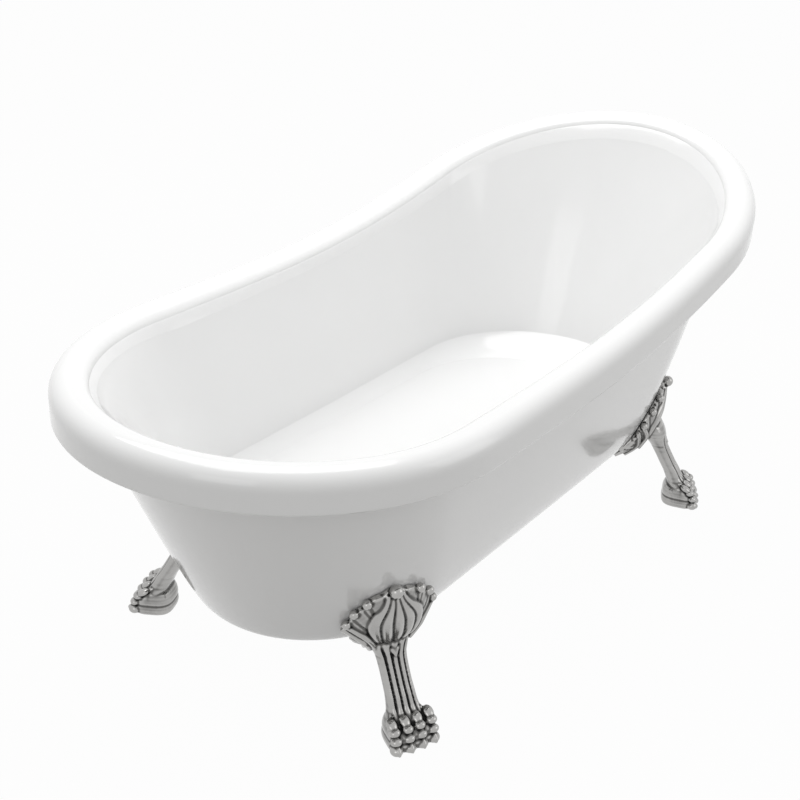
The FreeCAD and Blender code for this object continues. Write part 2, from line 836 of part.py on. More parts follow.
def make_base_board():
    """A flat board with round ends under the well's floor, cut out round the waste."""
    board = doc.addObject("PartDesign::Body", "base_board")
    sketch = board.newObject("Sketcher::SketchObject", "board_outline")
    sketch.AttachmentSupport = [(origin_plane(board, "XY_Plane"), "")]
    sketch.MapMode = "FlatFace"
    half = size("board_half_width")
    low = size("board_low_end") + half
    high = size("board_high_end") - half
    side = Part.LineSegment
    sketch.addGeometry(side(Vector(low, -half, 0), Vector(high, -half, 0)))
    sketch.addGeometry(Part.ArcOfCircle(Part.Circle(Vector(high, 0, 0), Vector(0, 0, 1), half),
                                        -math.pi / 2, math.pi / 2))
    sketch.addGeometry(side(Vector(high, half, 0), Vector(low, half, 0)))
    sketch.addGeometry(Part.ArcOfCircle(Part.Circle(Vector(low, 0, 0), Vector(0, 0, 1), half),
                                        math.pi / 2, 3 * math.pi / 2))
    sketch.addConstraint(Sketcher.Constraint("Tangent", 0, 2, 1, 1))
    sketch.addConstraint(Sketcher.Constraint("Tangent", 1, 2, 2, 1))
    sketch.addConstraint(Sketcher.Constraint("Tangent", 2, 2, 3, 1))
    sketch.addConstraint(Sketcher.Constraint("Tangent", 3, 2, 0, 1))
    sketch.addConstraint(Sketcher.Constraint("Horizontal", 0))
    sketch.addConstraint(Sketcher.Constraint("PointOnObject", 1, 3, -1))
    rules = [("Radius", (1,), "sizes.board_half_width"),
             ("DistanceX", (1, 3), "sizes.board_high_end - sizes.board_half_width"),
             ("DistanceX", (3, 3), "sizes.board_low_end + sizes.board_half_width")]
    for kind, target, text in rules:
        rule = sketch.addConstraint(Sketcher.Constraint(kind, *target, worth(text)))
        sketch.setExpression("Constraints[%d]" % rule, text)
    hole = sketch.addGeometry(Part.Circle(Vector(size("drain_station"), 0, 0), Vector(0, 0, 1),
                                          size("board_drain_hole")))
    sketch.addConstraint(Sketcher.Constraint("PointOnObject", hole, 3, -1))
    for kind, target, text in [("DistanceX", (hole, 3), "sizes.drain_station"),
                               ("Radius", (hole,), "sizes.board_drain_hole")]:
        rule = sketch.addConstraint(Sketcher.Constraint(kind, *target, worth(text)))
        sketch.setExpression("Constraints[%d]" % rule, text)
    pad = board.newObject("PartDesign::Pad", "board_pad")
    pad.Profile = sketch
    pad.setExpression("Length", "sizes.board_thickness")
    board.Placement = raised(0, 0, board_top() - size("board_thickness"))
    doc.recompute()
    screws = board.newObject("Sketcher::SketchObject", "board_pilot_holes")
    screws.AttachmentSupport = [(origin_plane(board, "XY_Plane"), "")]
    screws.MapMode = "FlatFace"
    for spot in screw_spots():
        screws.addGeometry(Part.Circle(spot, Vector(0, 0, 1), size("screw_radius")))
    pilot = board.newObject("PartDesign::Pocket", "board_pilots")
    pilot.Profile = screws
    pilot.Reversed = True
    pilot.setExpression("Length", "sizes.screw_bite + sizes.seat_gap")
    doc.recompute()
    return keep(board, "base_board")


def make_cross_rail(end, plate_room):
    """A square tube across the tub, its ends shaped to the foot plates."""
    wall = size("rail_wall")
    width = size("rail_width")
    height = size("rail_height")
    reach = HALF_WIDTH
    middle = rail_station(end)
    corner = Vector(middle - width / 2, -reach, rail_bottom())
    tube = Part.makeBox(width, 2 * reach, height, corner)
    tube = tube.cut(Part.makeBox(width - 2 * wall, 2 * reach, height - 2 * wall,
                                 corner + Vector(wall, 0, wall)))
    tube = tube.cut(plate_room)
    rail = min(tube.Solids, key=lambda piece: abs(piece.CenterOfMass.y))
    for spot in screw_spots():
        if abs(spot.x - middle) < 1:
            shank = Part.makeCylinder(size("screw_radius") + size("seat_gap"), 2 * height,
                                      Vector(spot.x, spot.y, rail_bottom() - wall))
            rail = rail.cut(shank)
    return shaped("cross_rail_" + end, biggest(rail))


def make_rail_screws():
    """Four hexagon-head screws up through the rails into the board, as one group of solids."""
    screw = hexagon(size("screw_head_radius")).extrude(Vector(0, 0, -size("screw_head_height")))
    shank = Part.makeCylinder(size("screw_radius"), size("rail_height") + size("screw_bite"))
    places = [raised(spot.x, spot.y, rail_bottom()) for spot in screw_spots()]
    shaped("rail_screws", copies(screw.fuse(shank).removeSplitter(), places))


# ---------------------------------------------------------------------------
# Feet, plates, bolts and levelling gear
# ---------------------------------------------------------------------------

def mirrored(label, source):
    """The same piece on the other side of the tub."""
    twin = doc.addObject("Part::Mirroring", label)
    twin.Source = source
    twin.Base = Vector(0, 0, 0)
    twin.Normal = Vector(0, 1, 0)
    doc.recompute()
    return keep(twin, label)


def make_claw_feet(end, hull_room):
    left = shaped("claw_foot_%s_left" % end, claw_foot(end, -1, hull_room))
    mirrored("claw_foot_%s_right" % end, left)


def make_foot_plates(end, plate_layer):
    """A curved plate inside the skirt behind each foot, which the bolts and the rail meet."""
    anchor, outward, sideways = foot_axes(end, -1)
    half = size("plate_half_width")
    tall = size("plate_top") - size("plate_bottom")
    window = Part.makeBox(4 * half, 2 * half, tall, Vector(-2 * half, -half, 0))
    turn = FreeCAD.Rotation(Vector(1, 0, 0), outward)
    window.Placement = FreeCAD.Placement(Vector(anchor.x, anchor.y, size("plate_bottom")), turn)
    plate = biggest(plate_layer.common(window))
    cutters = []
    for place in bolt_places(end, -1):
        cutters.append(bolt_hole(place, 24, 12))
        seat = hexagon(size("head_radius") + 1).extrude(Vector(0, 0, -12))
        seat.Placement = place.multiply(under_head())
        cutters.append(seat)
    left = shaped("foot_plate_%s_left" % end, biggest(plate.cut(Part.makeCompound(cutters))))
    mirrored("foot_plate_%s_right" % end, left)


def plate_back():
    """Depth of the foot plates' inner face behind the skirt's outer face."""
    return size("skirt_thickness") + size("seat_gap") + size("plate_thickness")


def make_foot_fixings():
    """Eight hexagon bolts from inside the tub, through the plates and the skirt into the feet."""
    bolt = hexagon(size("head_radius")).extrude(Vector(0, 0, -size("head_height")))
    bolt = bolt.fuse(Part.makeCylinder(size("bolt_radius"), size("bolt_length"))).removeSplitter()
    seats = [place.multiply(under_head()) for end, side, corner in CORNERS
             for place in bolt_places(end, side)]
    shaped("foot_bolts", copies(bolt, seats))


def make_levelling_gear(end, side, corner):
    """A twelve-sided pad and a threaded stud with a hexagon collar under one paw."""
    spot = stud_spot(end, side, 0)
    pad = doc.addObject("Part::Prism", "levelling_pad_" + corner)
    pad.Polygon = 12
    pad.setExpression("Circumradius", "sizes.pad_radius")
    pad.setExpression("Height", "sizes.pad_height")
    pad.Placement = raised(spot.x, spot.y, 0)
    collar = doc.addObject("Part::Prism", "stud_collar_" + corner)
    collar.Polygon = 6
    collar.setExpression("Circumradius", "sizes.stud_collar_radius")
    collar.setExpression("Height", "sizes.stud_collar_height")
    shank = doc.addObject("Part::Cylinder", "stud_shank_" + corner)
    shank.setExpression("Radius", "sizes.stud_radius")
    shank.setExpression("Height", "sizes.stud_length")
    stud = doc.addObject("Part::Fuse", "levelling_stud_" + corner)
    stud.Base = collar
    stud.Tool = shank
    stud.Placement = raised(spot.x, spot.y, collar_floor())
    doc.recompute()
    keep(pad, "levelling_pad_" + corner)
    keep(stud, "levelling_stud_" + corner)


# ---------------------------------------------------------------------------
# Waste: flange, seals, body, tail and pop-up plug
# ---------------------------------------------------------------------------

def drain_placement(height):
    return raised(size("drain_station"), 0, height)


def make_waste_flange():
    """Flanged tube with a three-armed guide for the plug's stem."""
    tube = turned("waste_flange_tube", [
        ("sizes.flange_bore", "-sizes.flange_tube_length"),
        ("sizes.flange_tube_radius", "-sizes.flange_tube_length"),
        ("sizes.flange_tube_radius", "0"), ("sizes.flange_radius", "0"),
        ("sizes.flange_radius", "sizes.flange_thickness * 0.4"),
        ("sizes.flange_radius - 3", "sizes.flange_thickness"),
        ("sizes.flange_bore", "sizes.flange_thickness")],
        drain_placement(size("floor_height") + size("seal_thickness")))
    hub = turned("waste_flange_guide", ring_section(
        "sizes.plug_stem_radius + sizes.running_gap", "sizes.guide_radius",
        "-sizes.guide_drop - sizes.guide_height", "-sizes.guide_drop"), tube.Placement)
    arms = []
    for turn in range(3):
        arm = doc.addObject("Part::Box", "waste_flange_arm_%d" % turn)
        arm.setExpression("Length", "sizes.flange_bore - sizes.guide_radius + 2")
        arm.setExpression("Width", "sizes.guide_arm")
        arm.setExpression("Height", "sizes.guide_height * 0.6")
        inner = FreeCAD.Placement(Vector(size("guide_radius") - 1, -size("guide_arm") / 2,
                                         -size("guide_drop") - size("guide_height")), FreeCAD.Rotation())
        spun = FreeCAD.Placement(Vector(0, 0, 0), FreeCAD.Rotation(Vector(0, 0, 1), 120 * turn))
        arm.Placement = tube.Placement.multiply(spun.multiply(inner))
        arms.append(arm)
    flange = doc.addObject("Part::MultiFuse", "waste_flange")
    flange.Shapes = [tube, hub] + arms
    doc.recompute()
    keep(flange, "waste_flange")


def make_waste_seals():
    keep(turned("waste_seal", ring_section(
        "sizes.flange_tube_radius + sizes.seat_gap", "sizes.flange_radius - 2", "0",
        "sizes.seal_thickness"), drain_placement(size("floor_height"))), "waste_seal")
    keep(turned("waste_gasket", ring_section(
        "sizes.flange_tube_radius + sizes.seat_gap", "sizes.gasket_radius",
        "-sizes.gasket_thickness", "0"), drain_placement(board_top())), "waste_gasket")


def make_waste_body():
    """Cup under the floor: it takes the flange's tube, the overflow pipe and the tail."""
    top = "(sizes.floor_height - sizes.acrylic - sizes.gasket_thickness)"
    floor = "sizes.waste_body_bottom"
    throat = "(%s - sizes.flange_tube_length + 6)" % top
    cup = turned("waste_cup", [
        ("sizes.tail_radius + sizes.running_gap", "sizes.spigot_bottom"),
        ("sizes.spigot_radius", "sizes.spigot_bottom"),
        ("sizes.spigot_radius", floor), ("sizes.waste_body_radius", floor),
        ("sizes.waste_body_radius", top + " - sizes.waste_rim_thickness"),
        ("sizes.waste_rim_radius", top + " - sizes.waste_rim_thickness"),
        ("sizes.waste_rim_radius", top),
        ("sizes.flange_tube_radius + sizes.running_gap", top),
        ("sizes.flange_tube_radius + sizes.running_gap", throat),
        ("sizes.chamber_radius", throat),
        ("sizes.chamber_radius", floor + " + sizes.chamber_wall"),
        ("sizes.tail_radius + sizes.running_gap", floor + " + sizes.chamber_wall")],
        drain_placement(0))
    port = doc.addObject("Part::Cylinder", "waste_port")
    port.setExpression("Radius", "sizes.port_radius")
    port.setExpression("Height", "sizes.waste_port_reach - sizes.chamber_radius - 1")
    port.Placement = raised(size("drain_station") - size("chamber_radius") - 1, 0, size("pipe_level"),
                            Vector(-1, 0, 0))
    bore = doc.addObject("Part::Cylinder", "waste_port_bore")
    bore.setExpression("Radius", "sizes.pipe_radius + sizes.running_gap")
    bore.setExpression("Height", "sizes.waste_port_reach")
    bore.Placement = raised(size("drain_station") - 1, 0, size("pipe_level"), Vector(-1, 0, 0))
    joined = doc.addObject("Part::Fuse", "waste_cup_with_port")
    joined.Base = cup
    joined.Tool = port
    body = doc.addObject("Part::Cut", "waste_body")
    body.Base = joined
    body.Tool = bore
    doc.recompute()
    keep(body, "waste_body")


def make_tail():
    """Outlet tail and the nut that clamps it in the spigot."""
    shoulder = "sizes.tail_bottom + sizes.tail_outlet_length"
    keep(turned("waste_tail", [
        ("sizes.tail_radius - sizes.tail_wall", "sizes.tail_bottom"),
        ("sizes.tail_radius", "sizes.tail_bottom"), ("sizes.tail_radius", shoulder),
        ("sizes.tail_neck_radius", shoulder), ("sizes.tail_neck_radius", "sizes.tail_top"),
        ("sizes.tail_radius - sizes.tail_wall", "sizes.tail_top")], drain_placement(0)), "waste_tail")
    blank = doc.addObject("Part::Prism", "tail_nut_blank")
    blank.Polygon = 6
    blank.setExpression("Circumradius", "sizes.tail_nut_radius")
    blank.setExpression("Height", "sizes.tail_nut_height")
    thread = doc.addObject("Part::Cylinder", "tail_nut_thread")
    thread.setExpression("Radius", "sizes.spigot_radius + sizes.running_gap")
    thread.setExpression("Height", "sizes.tail_nut_height - sizes.tail_nut_lip")
    thread.Placement = raised(0, 0, size("tail_nut_lip"))
    mouth = doc.addObject("Part::Cylinder", "tail_nut_mouth")
    mouth.setExpression("Radius", "sizes.tail_radius + sizes.seat_gap")
    mouth.setExpression("Height", "sizes.tail_nut_height")
    cuts = doc.addObject("Part::MultiFuse", "tail_nut_inside")
    cuts.Shapes = [thread, mouth]
    nut = doc.addObject("Part::Cut", "tail_nut")
    nut.Base = blank
    nut.Tool = cuts
    nut.Placement = drain_placement(size("spigot_bottom") - size("tail_nut_lip"))
    doc.recompute()
    keep(nut, "tail_nut")


def plug_seat():
    """Height of the plug seal's underside when the plug is down."""
    return size("floor_height") + size("seal_thickness") + size("flange_thickness") + size("seat_gap")


def make_plug():
    """Domed pop-up plug on its stem, with the sealing ring under its edge."""
    seat = drain_placement(plug_seat())
    keep(turned("popup_plug", [
        ("0", "-sizes.plug_stem_drop"), ("sizes.plug_stem_radius", "-sizes.plug_stem_drop"),
        ("sizes.plug_stem_radius", "0"), ("sizes.plug_seal_radius - 7", "0"),
        ("sizes.plug_seal_radius - 7", "sizes.seal_thickness"),
        ("sizes.plug_radius", "sizes.seal_thickness"),
        ("sizes.plug_radius", "sizes.seal_thickness + sizes.plug_edge"),
        ("sizes.plug_radius - 5", "sizes.seal_thickness + sizes.plug_edge + sizes.plug_rise * 0.5"),
        ("sizes.plug_radius * 0.4", "sizes.seal_thickness + sizes.plug_edge + sizes.plug_rise"),
        ("0", "sizes.seal_thickness + sizes.plug_edge + sizes.plug_rise")], seat), "popup_plug")
    keep(turned("plug_seal", ring_section(
        "sizes.plug_seal_radius - 7", "sizes.plug_seal_radius", "0", "sizes.seal_thickness"), seat),
        "plug_seal")


# ---------------------------------------------------------------------------
# Overflow: flange, seal, body, knob, pipe and control cable
# ---------------------------------------------------------------------------

def overflow_placement(distance):
    spot = OVERFLOW + INWARD * distance
    return raised(spot.x, spot.y, spot.z, INWARD)


BEND_STEPS = 3
PIPE_SIDES = 16
CABLE_SIDES = 8


def pipe_centre():
    """Point on the overflow body's axis that the pipe leaves from."""
    return OVERFLOW + INWARD * -(size("overflow_wall") + size("overflow_seal_thickness")
                                 + size("overflow_body_depth") / 2)


def pipe_corners():
    """Centre line of the overflow pipe: from the overflow body down to the waste body."""
    start = pipe_centre()
    upper = Vector(size("pipe_upper_x"), 0, size("pipe_upper_z"))
    down = upper - start
    down.normalize()
    lower = Vector(size("pipe_lower_x"), 0, size("pipe_level"))
    end = Vector(size("drain_station") - size("waste_port_reach") + size("port_overlap"), 0,
                 size("pipe_level"))
    return [start + down * (size("port_reach") - size("port_overlap")), upper, lower, end]


def rounded_path(corners, bend):
    """Stations along straight runs with round bends, each a point and its direction."""
    path = []
    for before, corner, after in zip(corners, corners[1:], corners[2:]):
        incoming = corner - before
        incoming.normalize()
        outgoing = after - corner
        outgoing.normalize()
        turn = incoming.getAngle(outgoing)
        if not path:
            path.append((before, incoming))
        inside = outgoing - incoming
        inside.normalize()
        centre = corner + inside * (bend / math.cos(turn / 2))
        for step in range(BEND_STEPS + 1):
            share = turn * (step / BEND_STEPS - 0.5)
            middle = incoming + outgoing
            middle.normalize()
            path.append((centre - inside * (bend * math.cos(share)) + middle * (bend * math.sin(share)),
                         middle * math.cos(share) + inside * math.sin(share)))
    path.append((corners[-1], outgoing))
    return path


def swept(corners, bend, radius, sides):
    """A many-sided rod along a path that lies in an upright plane along the tub."""
    across = Vector(0, 1, 0)
    rings = []
    for spot, along in rounded_path(corners, bend):
        upward = along.cross(across)
        ring = []
        for index in range(sides):
            turn = 2 * math.pi * index / sides
            ring.append(spot + across * (radius * math.cos(turn)) + upward * (radius * math.sin(turn)))
        rings.append(ring)
    return capped(rings)


def make_overflow_flange():
    """Face plate with its threaded neck; the knob's shaft runs in its middle."""
    plate = turned("overflow_plate", [
        ("sizes.shaft_radius + sizes.running_gap", "0"),
        ("sizes.overflow_bore", "0"), ("sizes.overflow_bore", "-sizes.overflow_neck_length"),
        ("sizes.overflow_neck_radius", "-sizes.overflow_neck_length"),
        ("sizes.overflow_neck_radius", "0"), ("sizes.overflow_flange_radius", "0"),
        ("sizes.overflow_flange_radius", "sizes.overflow_flange_thickness"),
        ("sizes.shaft_radius + sizes.running_gap", "sizes.overflow_flange_thickness")],
        overflow_placement(0))
    ports = []
    for turn in range(4):
        port = doc.addObject("Part::Cylinder", "overflow_port_%d" % turn)
        port.setExpression("Radius", "sizes.overflow_port_radius")
        port.setExpression("Height", "sizes.overflow_flange_thickness + 2")
        angle = math.radians(45 + 90 * turn)
        offset = Vector(size("overflow_port_circle") * math.cos(angle),
                        size("overflow_port_circle") * math.sin(angle), -1)
        port.Placement = plate.Placement.multiply(FreeCAD.Placement(offset, FreeCAD.Rotation()))
        ports.append(port)
    openings = doc.addObject("Part::MultiFuse", "overflow_ports")
    openings.Shapes = ports
    flange = doc.addObject("Part::Cut", "overflow_flange")
    flange.Base = plate
    flange.Tool = openings
    doc.recompute()
    keep(flange, "overflow_flange")


def make_overflow_body():
    """Cup behind the wall, screwed onto the neck, with a port for the pipe."""
    keep(turned("overflow_seal", ring_section(
        "sizes.overflow_neck_radius + sizes.seat_gap", "sizes.overflow_body_radius",
        "-sizes.overflow_seal_thickness", "0"), overflow_placement(-size("overflow_wall"))), "overflow_seal")
    neck = "sizes.overflow_neck_radius + sizes.running_gap"
    depth = "-sizes.overflow_body_depth"
    cup = turned("overflow_cup", [
        ("0", depth), ("sizes.overflow_body_radius", depth), ("sizes.overflow_body_radius", "0"),
        (neck, "0"), (neck, "%s + sizes.overflow_body_wall" % depth),
        ("0", "%s + sizes.overflow_body_wall" % depth)],
        overflow_placement(-size("overflow_wall") - size("overflow_seal_thickness")))
    corners = pipe_corners()
    down = corners[1] - corners[0]
    down.normalize()
    centre = pipe_centre()
    cavity = size("overflow_neck_radius")
    port = Part.makeCylinder(size("port_radius"), size("port_reach") - cavity, centre + down * cavity, down)
    bore = Part.makeCylinder(size("pipe_radius") + size("running_gap"), size("port_reach"), centre, down)
    shaped("overflow_body", biggest(cup.Shape.fuse(port).cut(bore)))


KNOB_STEPS = 6


def make_overflow_knob():
    """Lobed knob in front of the face plate, on a shaft with a small cable drum behind it."""
    lobes = int(size("knob_lobes"))
    outline = []
    for step in range(KNOB_STEPS * lobes):
        turn = 2 * math.pi * step / (KNOB_STEPS * lobes)
        radius = size("knob_radius") - size("knob_lobe_depth") * (1 - math.cos(lobes * turn)) / 2
        outline.append(Vector(radius * math.cos(turn), radius * math.sin(turn), 0))
    face = Part.Face(Part.makePolygon(outline + outline[:1]))
    knob = face.extrude(Vector(0, 0, size("knob_height")))
    crown = Part.makeCone(size("knob_radius") + 3, size("knob_radius") - 5, size("knob_height") * 1.01)
    knob = knob.common(crown)
    knob = knob.cut(Part.makeCylinder(size("shaft_radius"), size("knob_height") * 0.6))
    knob.Placement = overflow_placement(size("overflow_flange_thickness") + size("knob_standoff"))
    shaped("overflow_knob", biggest(knob))
    keep(turned("overflow_shaft", [
        ("0", "-sizes.overflow_neck_length - sizes.drum_thickness"),
        ("sizes.drum_radius", "-sizes.overflow_neck_length - sizes.drum_thickness"),
        ("sizes.drum_radius", "-sizes.overflow_neck_length"),
        ("sizes.shaft_radius", "-sizes.overflow_neck_length"),
        ("sizes.shaft_radius", "sizes.overflow_flange_thickness + sizes.knob_standoff"
                               " + sizes.knob_height * 0.6"),
        ("0", "sizes.overflow_flange_thickness + sizes.knob_standoff + sizes.knob_height * 0.6")],
        overflow_placement(0)), "overflow_shaft")


def make_pipe_and_cable():
    corners = pipe_corners()
    outside = swept(corners, size("pipe_bend"), size("pipe_radius"), PIPE_SIDES)
    inside = swept(corners, size("pipe_bend"), size("pipe_radius") - size("pipe_wall"), PIPE_SIDES)
    shaped("overflow_pipe", biggest(outside.cut(inside)))
    down = corners[1] - corners[0]
    down.normalize()
    nuts = []
    for start, way in ((corners[0] + down * size("port_overlap"), down),
                       (corners[-1] - Vector(size("port_overlap"), 0, 0), Vector(-1, 0, 0))):
        nut = Part.makeCylinder(size("pipe_nut_radius"), size("pipe_nut_length"), start, way)
        nuts.append(nut.cut(Part.makeCylinder(size("pipe_radius") + size("running_gap"),
                                              size("pipe_nut_length"), start, way)))
    shaped("pipe_nuts", Part.makeCompound(nuts))
    beside = Vector(0, size("cable_side"), 0)
    start = pipe_centre() + down * size("overflow_body_radius")
    finish = Vector(size("drain_station") - size("chamber_radius"), 0, size("pipe_level"))
    route = [point + beside for point in [start] + corners[1:3] + [finish]]
    shaped("control_cable", swept(route, size("cable_bend"), size("cable_radius"), CABLE_SIDES))


# ---------------------------------------------------------------------------
# Assembly, checks and export
# ---------------------------------------------------------------------------

make_basin()
make_outer_skirt()
make_base_board()
hull_room = skirt_sheet(-size("seat_gap"), 40.0)
plate_layer = skirt_sheet(size("skirt_thickness") + size("seat_gap"), plate_back())
rail_room = skirt_sheet(-60.0, plate_back())
for foot_end in ("low", "high"):
    make_cross_rail(foot_end, rail_room)
    make_claw_feet(foot_end, hull_room)
    make_foot_plates(foot_end, plate_layer)
make_rail_screws()
make_foot_fixings()
for foot_end, foot_side, foot_corner in CORNERS:
    make_levelling_gear(foot_end, foot_side, foot_corner)
make_waste_flange()
make_waste_seals()
make_waste_body()
make_tail()
make_plug()
make_overflow_flange()
make_overflow_body()
make_overflow_knob()
make_pipe_and_cable()
doc.recompute()

for item in doc.Objects:
    if "Invalid" in item.State or "Error" in item.State:
        raise RuntimeError("%s could not be rebuilt" % item.Label)

os.makedirs("parts", exist_ok=True)
for item in NODES:
    if item.Shape.isNull() or not item.Shape.isValid():
        raise RuntimeError("%s has no valid shape" % item.Label)
    item.Shape.exportStep("parts/%s.step" % item.Label)
    box = item.Shape.BoundBox
    print(item.Label, len(item.Shape.Solids), round(item.Shape.Volume / 1000, 1), "cm3",
          [round(value, 1) for value in (box.XMin, box.XMax, box.YMin, box.YMax, box.ZMin, box.ZMax)])
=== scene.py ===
# %% [markdown]
# # A slipper bath on four claw feet
# The bath is two thin glossy sheets: an inner well with a deep rolled rim, and an outer
# skirt that tucks in under it. Four cast metal feet carry it. Each foot is a leaf crown
# bolted to the skirt, a fluted leg and a lion's paw. Everything is in metres, +X towards
# the high backrest, -Y the bather's left, and the floor is at zero.

import json
import math

import bmesh
import bpy
from mathutils import Matrix, Vector


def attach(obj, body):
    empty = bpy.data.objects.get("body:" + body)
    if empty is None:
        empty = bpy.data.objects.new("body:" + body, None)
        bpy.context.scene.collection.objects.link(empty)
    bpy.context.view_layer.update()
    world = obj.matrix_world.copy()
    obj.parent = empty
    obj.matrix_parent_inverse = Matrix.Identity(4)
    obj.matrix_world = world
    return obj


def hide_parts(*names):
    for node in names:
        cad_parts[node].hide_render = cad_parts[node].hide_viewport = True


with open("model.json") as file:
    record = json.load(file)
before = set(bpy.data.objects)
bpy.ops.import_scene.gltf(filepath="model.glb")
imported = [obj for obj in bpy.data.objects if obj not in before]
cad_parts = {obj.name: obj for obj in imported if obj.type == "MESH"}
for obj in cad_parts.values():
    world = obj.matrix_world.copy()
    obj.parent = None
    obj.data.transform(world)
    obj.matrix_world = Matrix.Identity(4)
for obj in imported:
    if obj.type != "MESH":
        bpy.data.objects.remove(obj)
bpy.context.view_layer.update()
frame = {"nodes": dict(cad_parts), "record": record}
scene = bpy.context.scene
scene.view_settings.view_transform = "Standard"

# %% [markdown]
# ## The camera and the light
# The bath was seen from above its low end and its left side. The eye's place and the
# lens were worked out from the rim, the skirt's edge and the feet. A roll of a few degrees
# is part of that view. The image is square.

# %% The camera
EYE = Vector((-1.9021, -1.2466, 1.5071))
EYE_YAW = 0.615
EYE_PITCH = 0.471
EYE_ROLL = 0.045
FRAME_PIXELS = 800
FOCAL_PIXELS = 1284.1
CENTRE_PIXEL = (400.6, 400.3)


def place_camera():
    """Camera that looks along a yaw and a downward pitch, rolled about its own axis."""
    forward = Vector((math.cos(EYE_PITCH) * math.cos(EYE_YAW),
                      math.cos(EYE_PITCH) * math.sin(EYE_YAW), -math.sin(EYE_PITCH)))
    right = Vector((math.sin(EYE_YAW), -math.cos(EYE_YAW), 0))
    up = right.cross(forward)
    rolled_right = right * math.cos(EYE_ROLL) + up * math.sin(EYE_ROLL)
    rolled_up = up * math.cos(EYE_ROLL) - right * math.sin(EYE_ROLL)
    turn = Matrix((rolled_right, rolled_up, -forward)).transposed()
    data = bpy.data.cameras.new("eye")
    data.sensor_width = 36.0
    data.lens = FOCAL_PIXELS / FRAME_PIXELS * data.sensor_width
    data.shift_x = (FRAME_PIXELS / 2 - CENTRE_PIXEL[0]) / FRAME_PIXELS
    data.shift_y = (CENTRE_PIXEL[1] - FRAME_PIXELS / 2) / FRAME_PIXELS
    data.clip_end = 60.0
    eye = bpy.data.objects.new("eye", data)
    eye.matrix_world = Matrix.Translation(EYE) @ turn.to_4x4()
    scene.collection.objects.link(eye)
    scene.camera = eye
    return eye


print("lens:", round(place_camera().data.lens, 1), "mm")

# %% [markdown]
# The light is a plain white studio: one large soft lamp high over the bath, two weaker ones
# on the near side, and a pale world all round. More light from above than from the sides
# leaves the skirt greyer than the well, and keeps the soft shading of a white sheet.

# %% Lamps
def soft_lamp(name, place, aim, width, power):
    """A square soft lamp that points at a spot."""
    data = bpy.data.lights.new(name, "AREA")
    data.shape = "SQUARE"
    data.size = width
    data.energy = power
    lamp = bpy.data.objects.new(name, data)
    lamp.location = place
    lamp.rotation_euler = (Vector(aim) - Vector(place)).to_track_quat("-Z", "Y").to_euler()
    scene.collection.objects.link(lamp)
    return lamp


AIM = (0.0, 0.0, 0.4)
LAMPS = [("key", (0.3, 0.7, 3.7), 3.0, 78.0),
         ("fill", (1.5, -3.1, 1.6), 2.0, 11.0),
         ("front", (-3.4, -1.0, 1.8), 1.6, 7.0)]
for lamp_name, lamp_place, lamp_width, lamp_power in LAMPS:
    soft_lamp(lamp_name, lamp_place, AIM, lamp_width, lamp_power)
print("lamps:", len(LAMPS))

# %% [markdown]
# The backdrop is almost white to the eye and to mirrors, but gives the bath itself only a
# soft grey light. Light Path tells the two apart. Most of what the eye sees of the floor is
# its glow, so the bath's shadow on it is only a trace.

# %% World and floor
WORLD_LIGHT = 0.57
FLOOR_GLOW = 0.975
FLOOR_GREY = (0.4, 0.395, 0.385, 1)
FLOOR_HALF = 14.0


def node_of(tree, kind, **values):
    """Add a node and set its plain inputs by name."""
    node = tree.nodes.new(kind)
    for label, value in values.items():
        node.inputs[label.replace("_", " ")].default_value = value
    return node


def seen_mask(tree):
    """1 where the eye or a mirror looks, 0 where plain light arrives."""
    path = tree.nodes.new("ShaderNodeLightPath")
    either = tree.nodes.new("ShaderNodeMath")
    either.operation = "MAXIMUM"
    tree.links.new(path.outputs["Is Camera Ray"], either.inputs[0])
    tree.links.new(path.outputs["Is Glossy Ray"], either.inputs[1])
    more = tree.nodes.new("ShaderNodeMath")
    more.operation = "MAXIMUM"
    tree.links.new(either.outputs[0], more.inputs[0])
    tree.links.new(path.outputs["Is Transmission Ray"], more.inputs[1])
    return more.outputs[0]


def make_world():
    world = bpy.data.worlds.new("white_studio")
    world.use_nodes = True
    tree = world.node_tree
    tree.nodes.clear()
    seen = node_of(tree, "ShaderNodeBackground", Color=(1, 1, 1, 1), Strength=1.0)
    light = node_of(tree, "ShaderNodeBackground", Color=(1, 1, 1, 1), Strength=WORLD_LIGHT)
    mix = tree.nodes.new("ShaderNodeMixShader")
    out = tree.nodes.new("ShaderNodeOutputWorld")
    tree.links.new(seen_mask(tree), mix.inputs[0])
    tree.links.new(light.outputs[0], mix.inputs[1])
    tree.links.new(seen.outputs[0], mix.inputs[2])
    tree.links.new(mix.outputs[0], out.inputs[0])
    scene.world = world


def make_floor():
    data = bpy.data.meshes.new("floor")
    side = FLOOR_HALF
    data.from_pydata([(-side, -side, 0), (side, -side, 0), (side, side, 0), (-side, side, 0)],
                     [], [(0, 1, 2, 3)])
    floor = bpy.data.objects.new("floor", data)
    scene.collection.objects.link(floor)
    material = bpy.data.materials.new("floor_white")
    material.use_nodes = True
    tree = material.node_tree
    tree.nodes.clear()
    matt = node_of(tree, "ShaderNodeBsdfDiffuse", Color=FLOOR_GREY)
    glow = node_of(tree, "ShaderNodeEmission", Color=(1, 1, 1, 1), Strength=1.0)
    share = tree.nodes.new("ShaderNodeMath")
    share.operation = "MULTIPLY"
    share.inputs[1].default_value = FLOOR_GLOW
    mix = tree.nodes.new("ShaderNodeMixShader")
    out = tree.nodes.new("ShaderNodeOutputMaterial")
    tree.links.new(seen_mask(tree), share.inputs[0])
    tree.links.new(share.outputs[0], mix.inputs[0])
    tree.links.new(matt.outputs[0], mix.inputs[1])
    tree.links.new(glow.outputs[0], mix.inputs[2])
    tree.links.new(mix.outputs[0], out.inputs[0])
    data.materials.append(material)
    return floor


make_world()
print("floor:", make_floor().name)

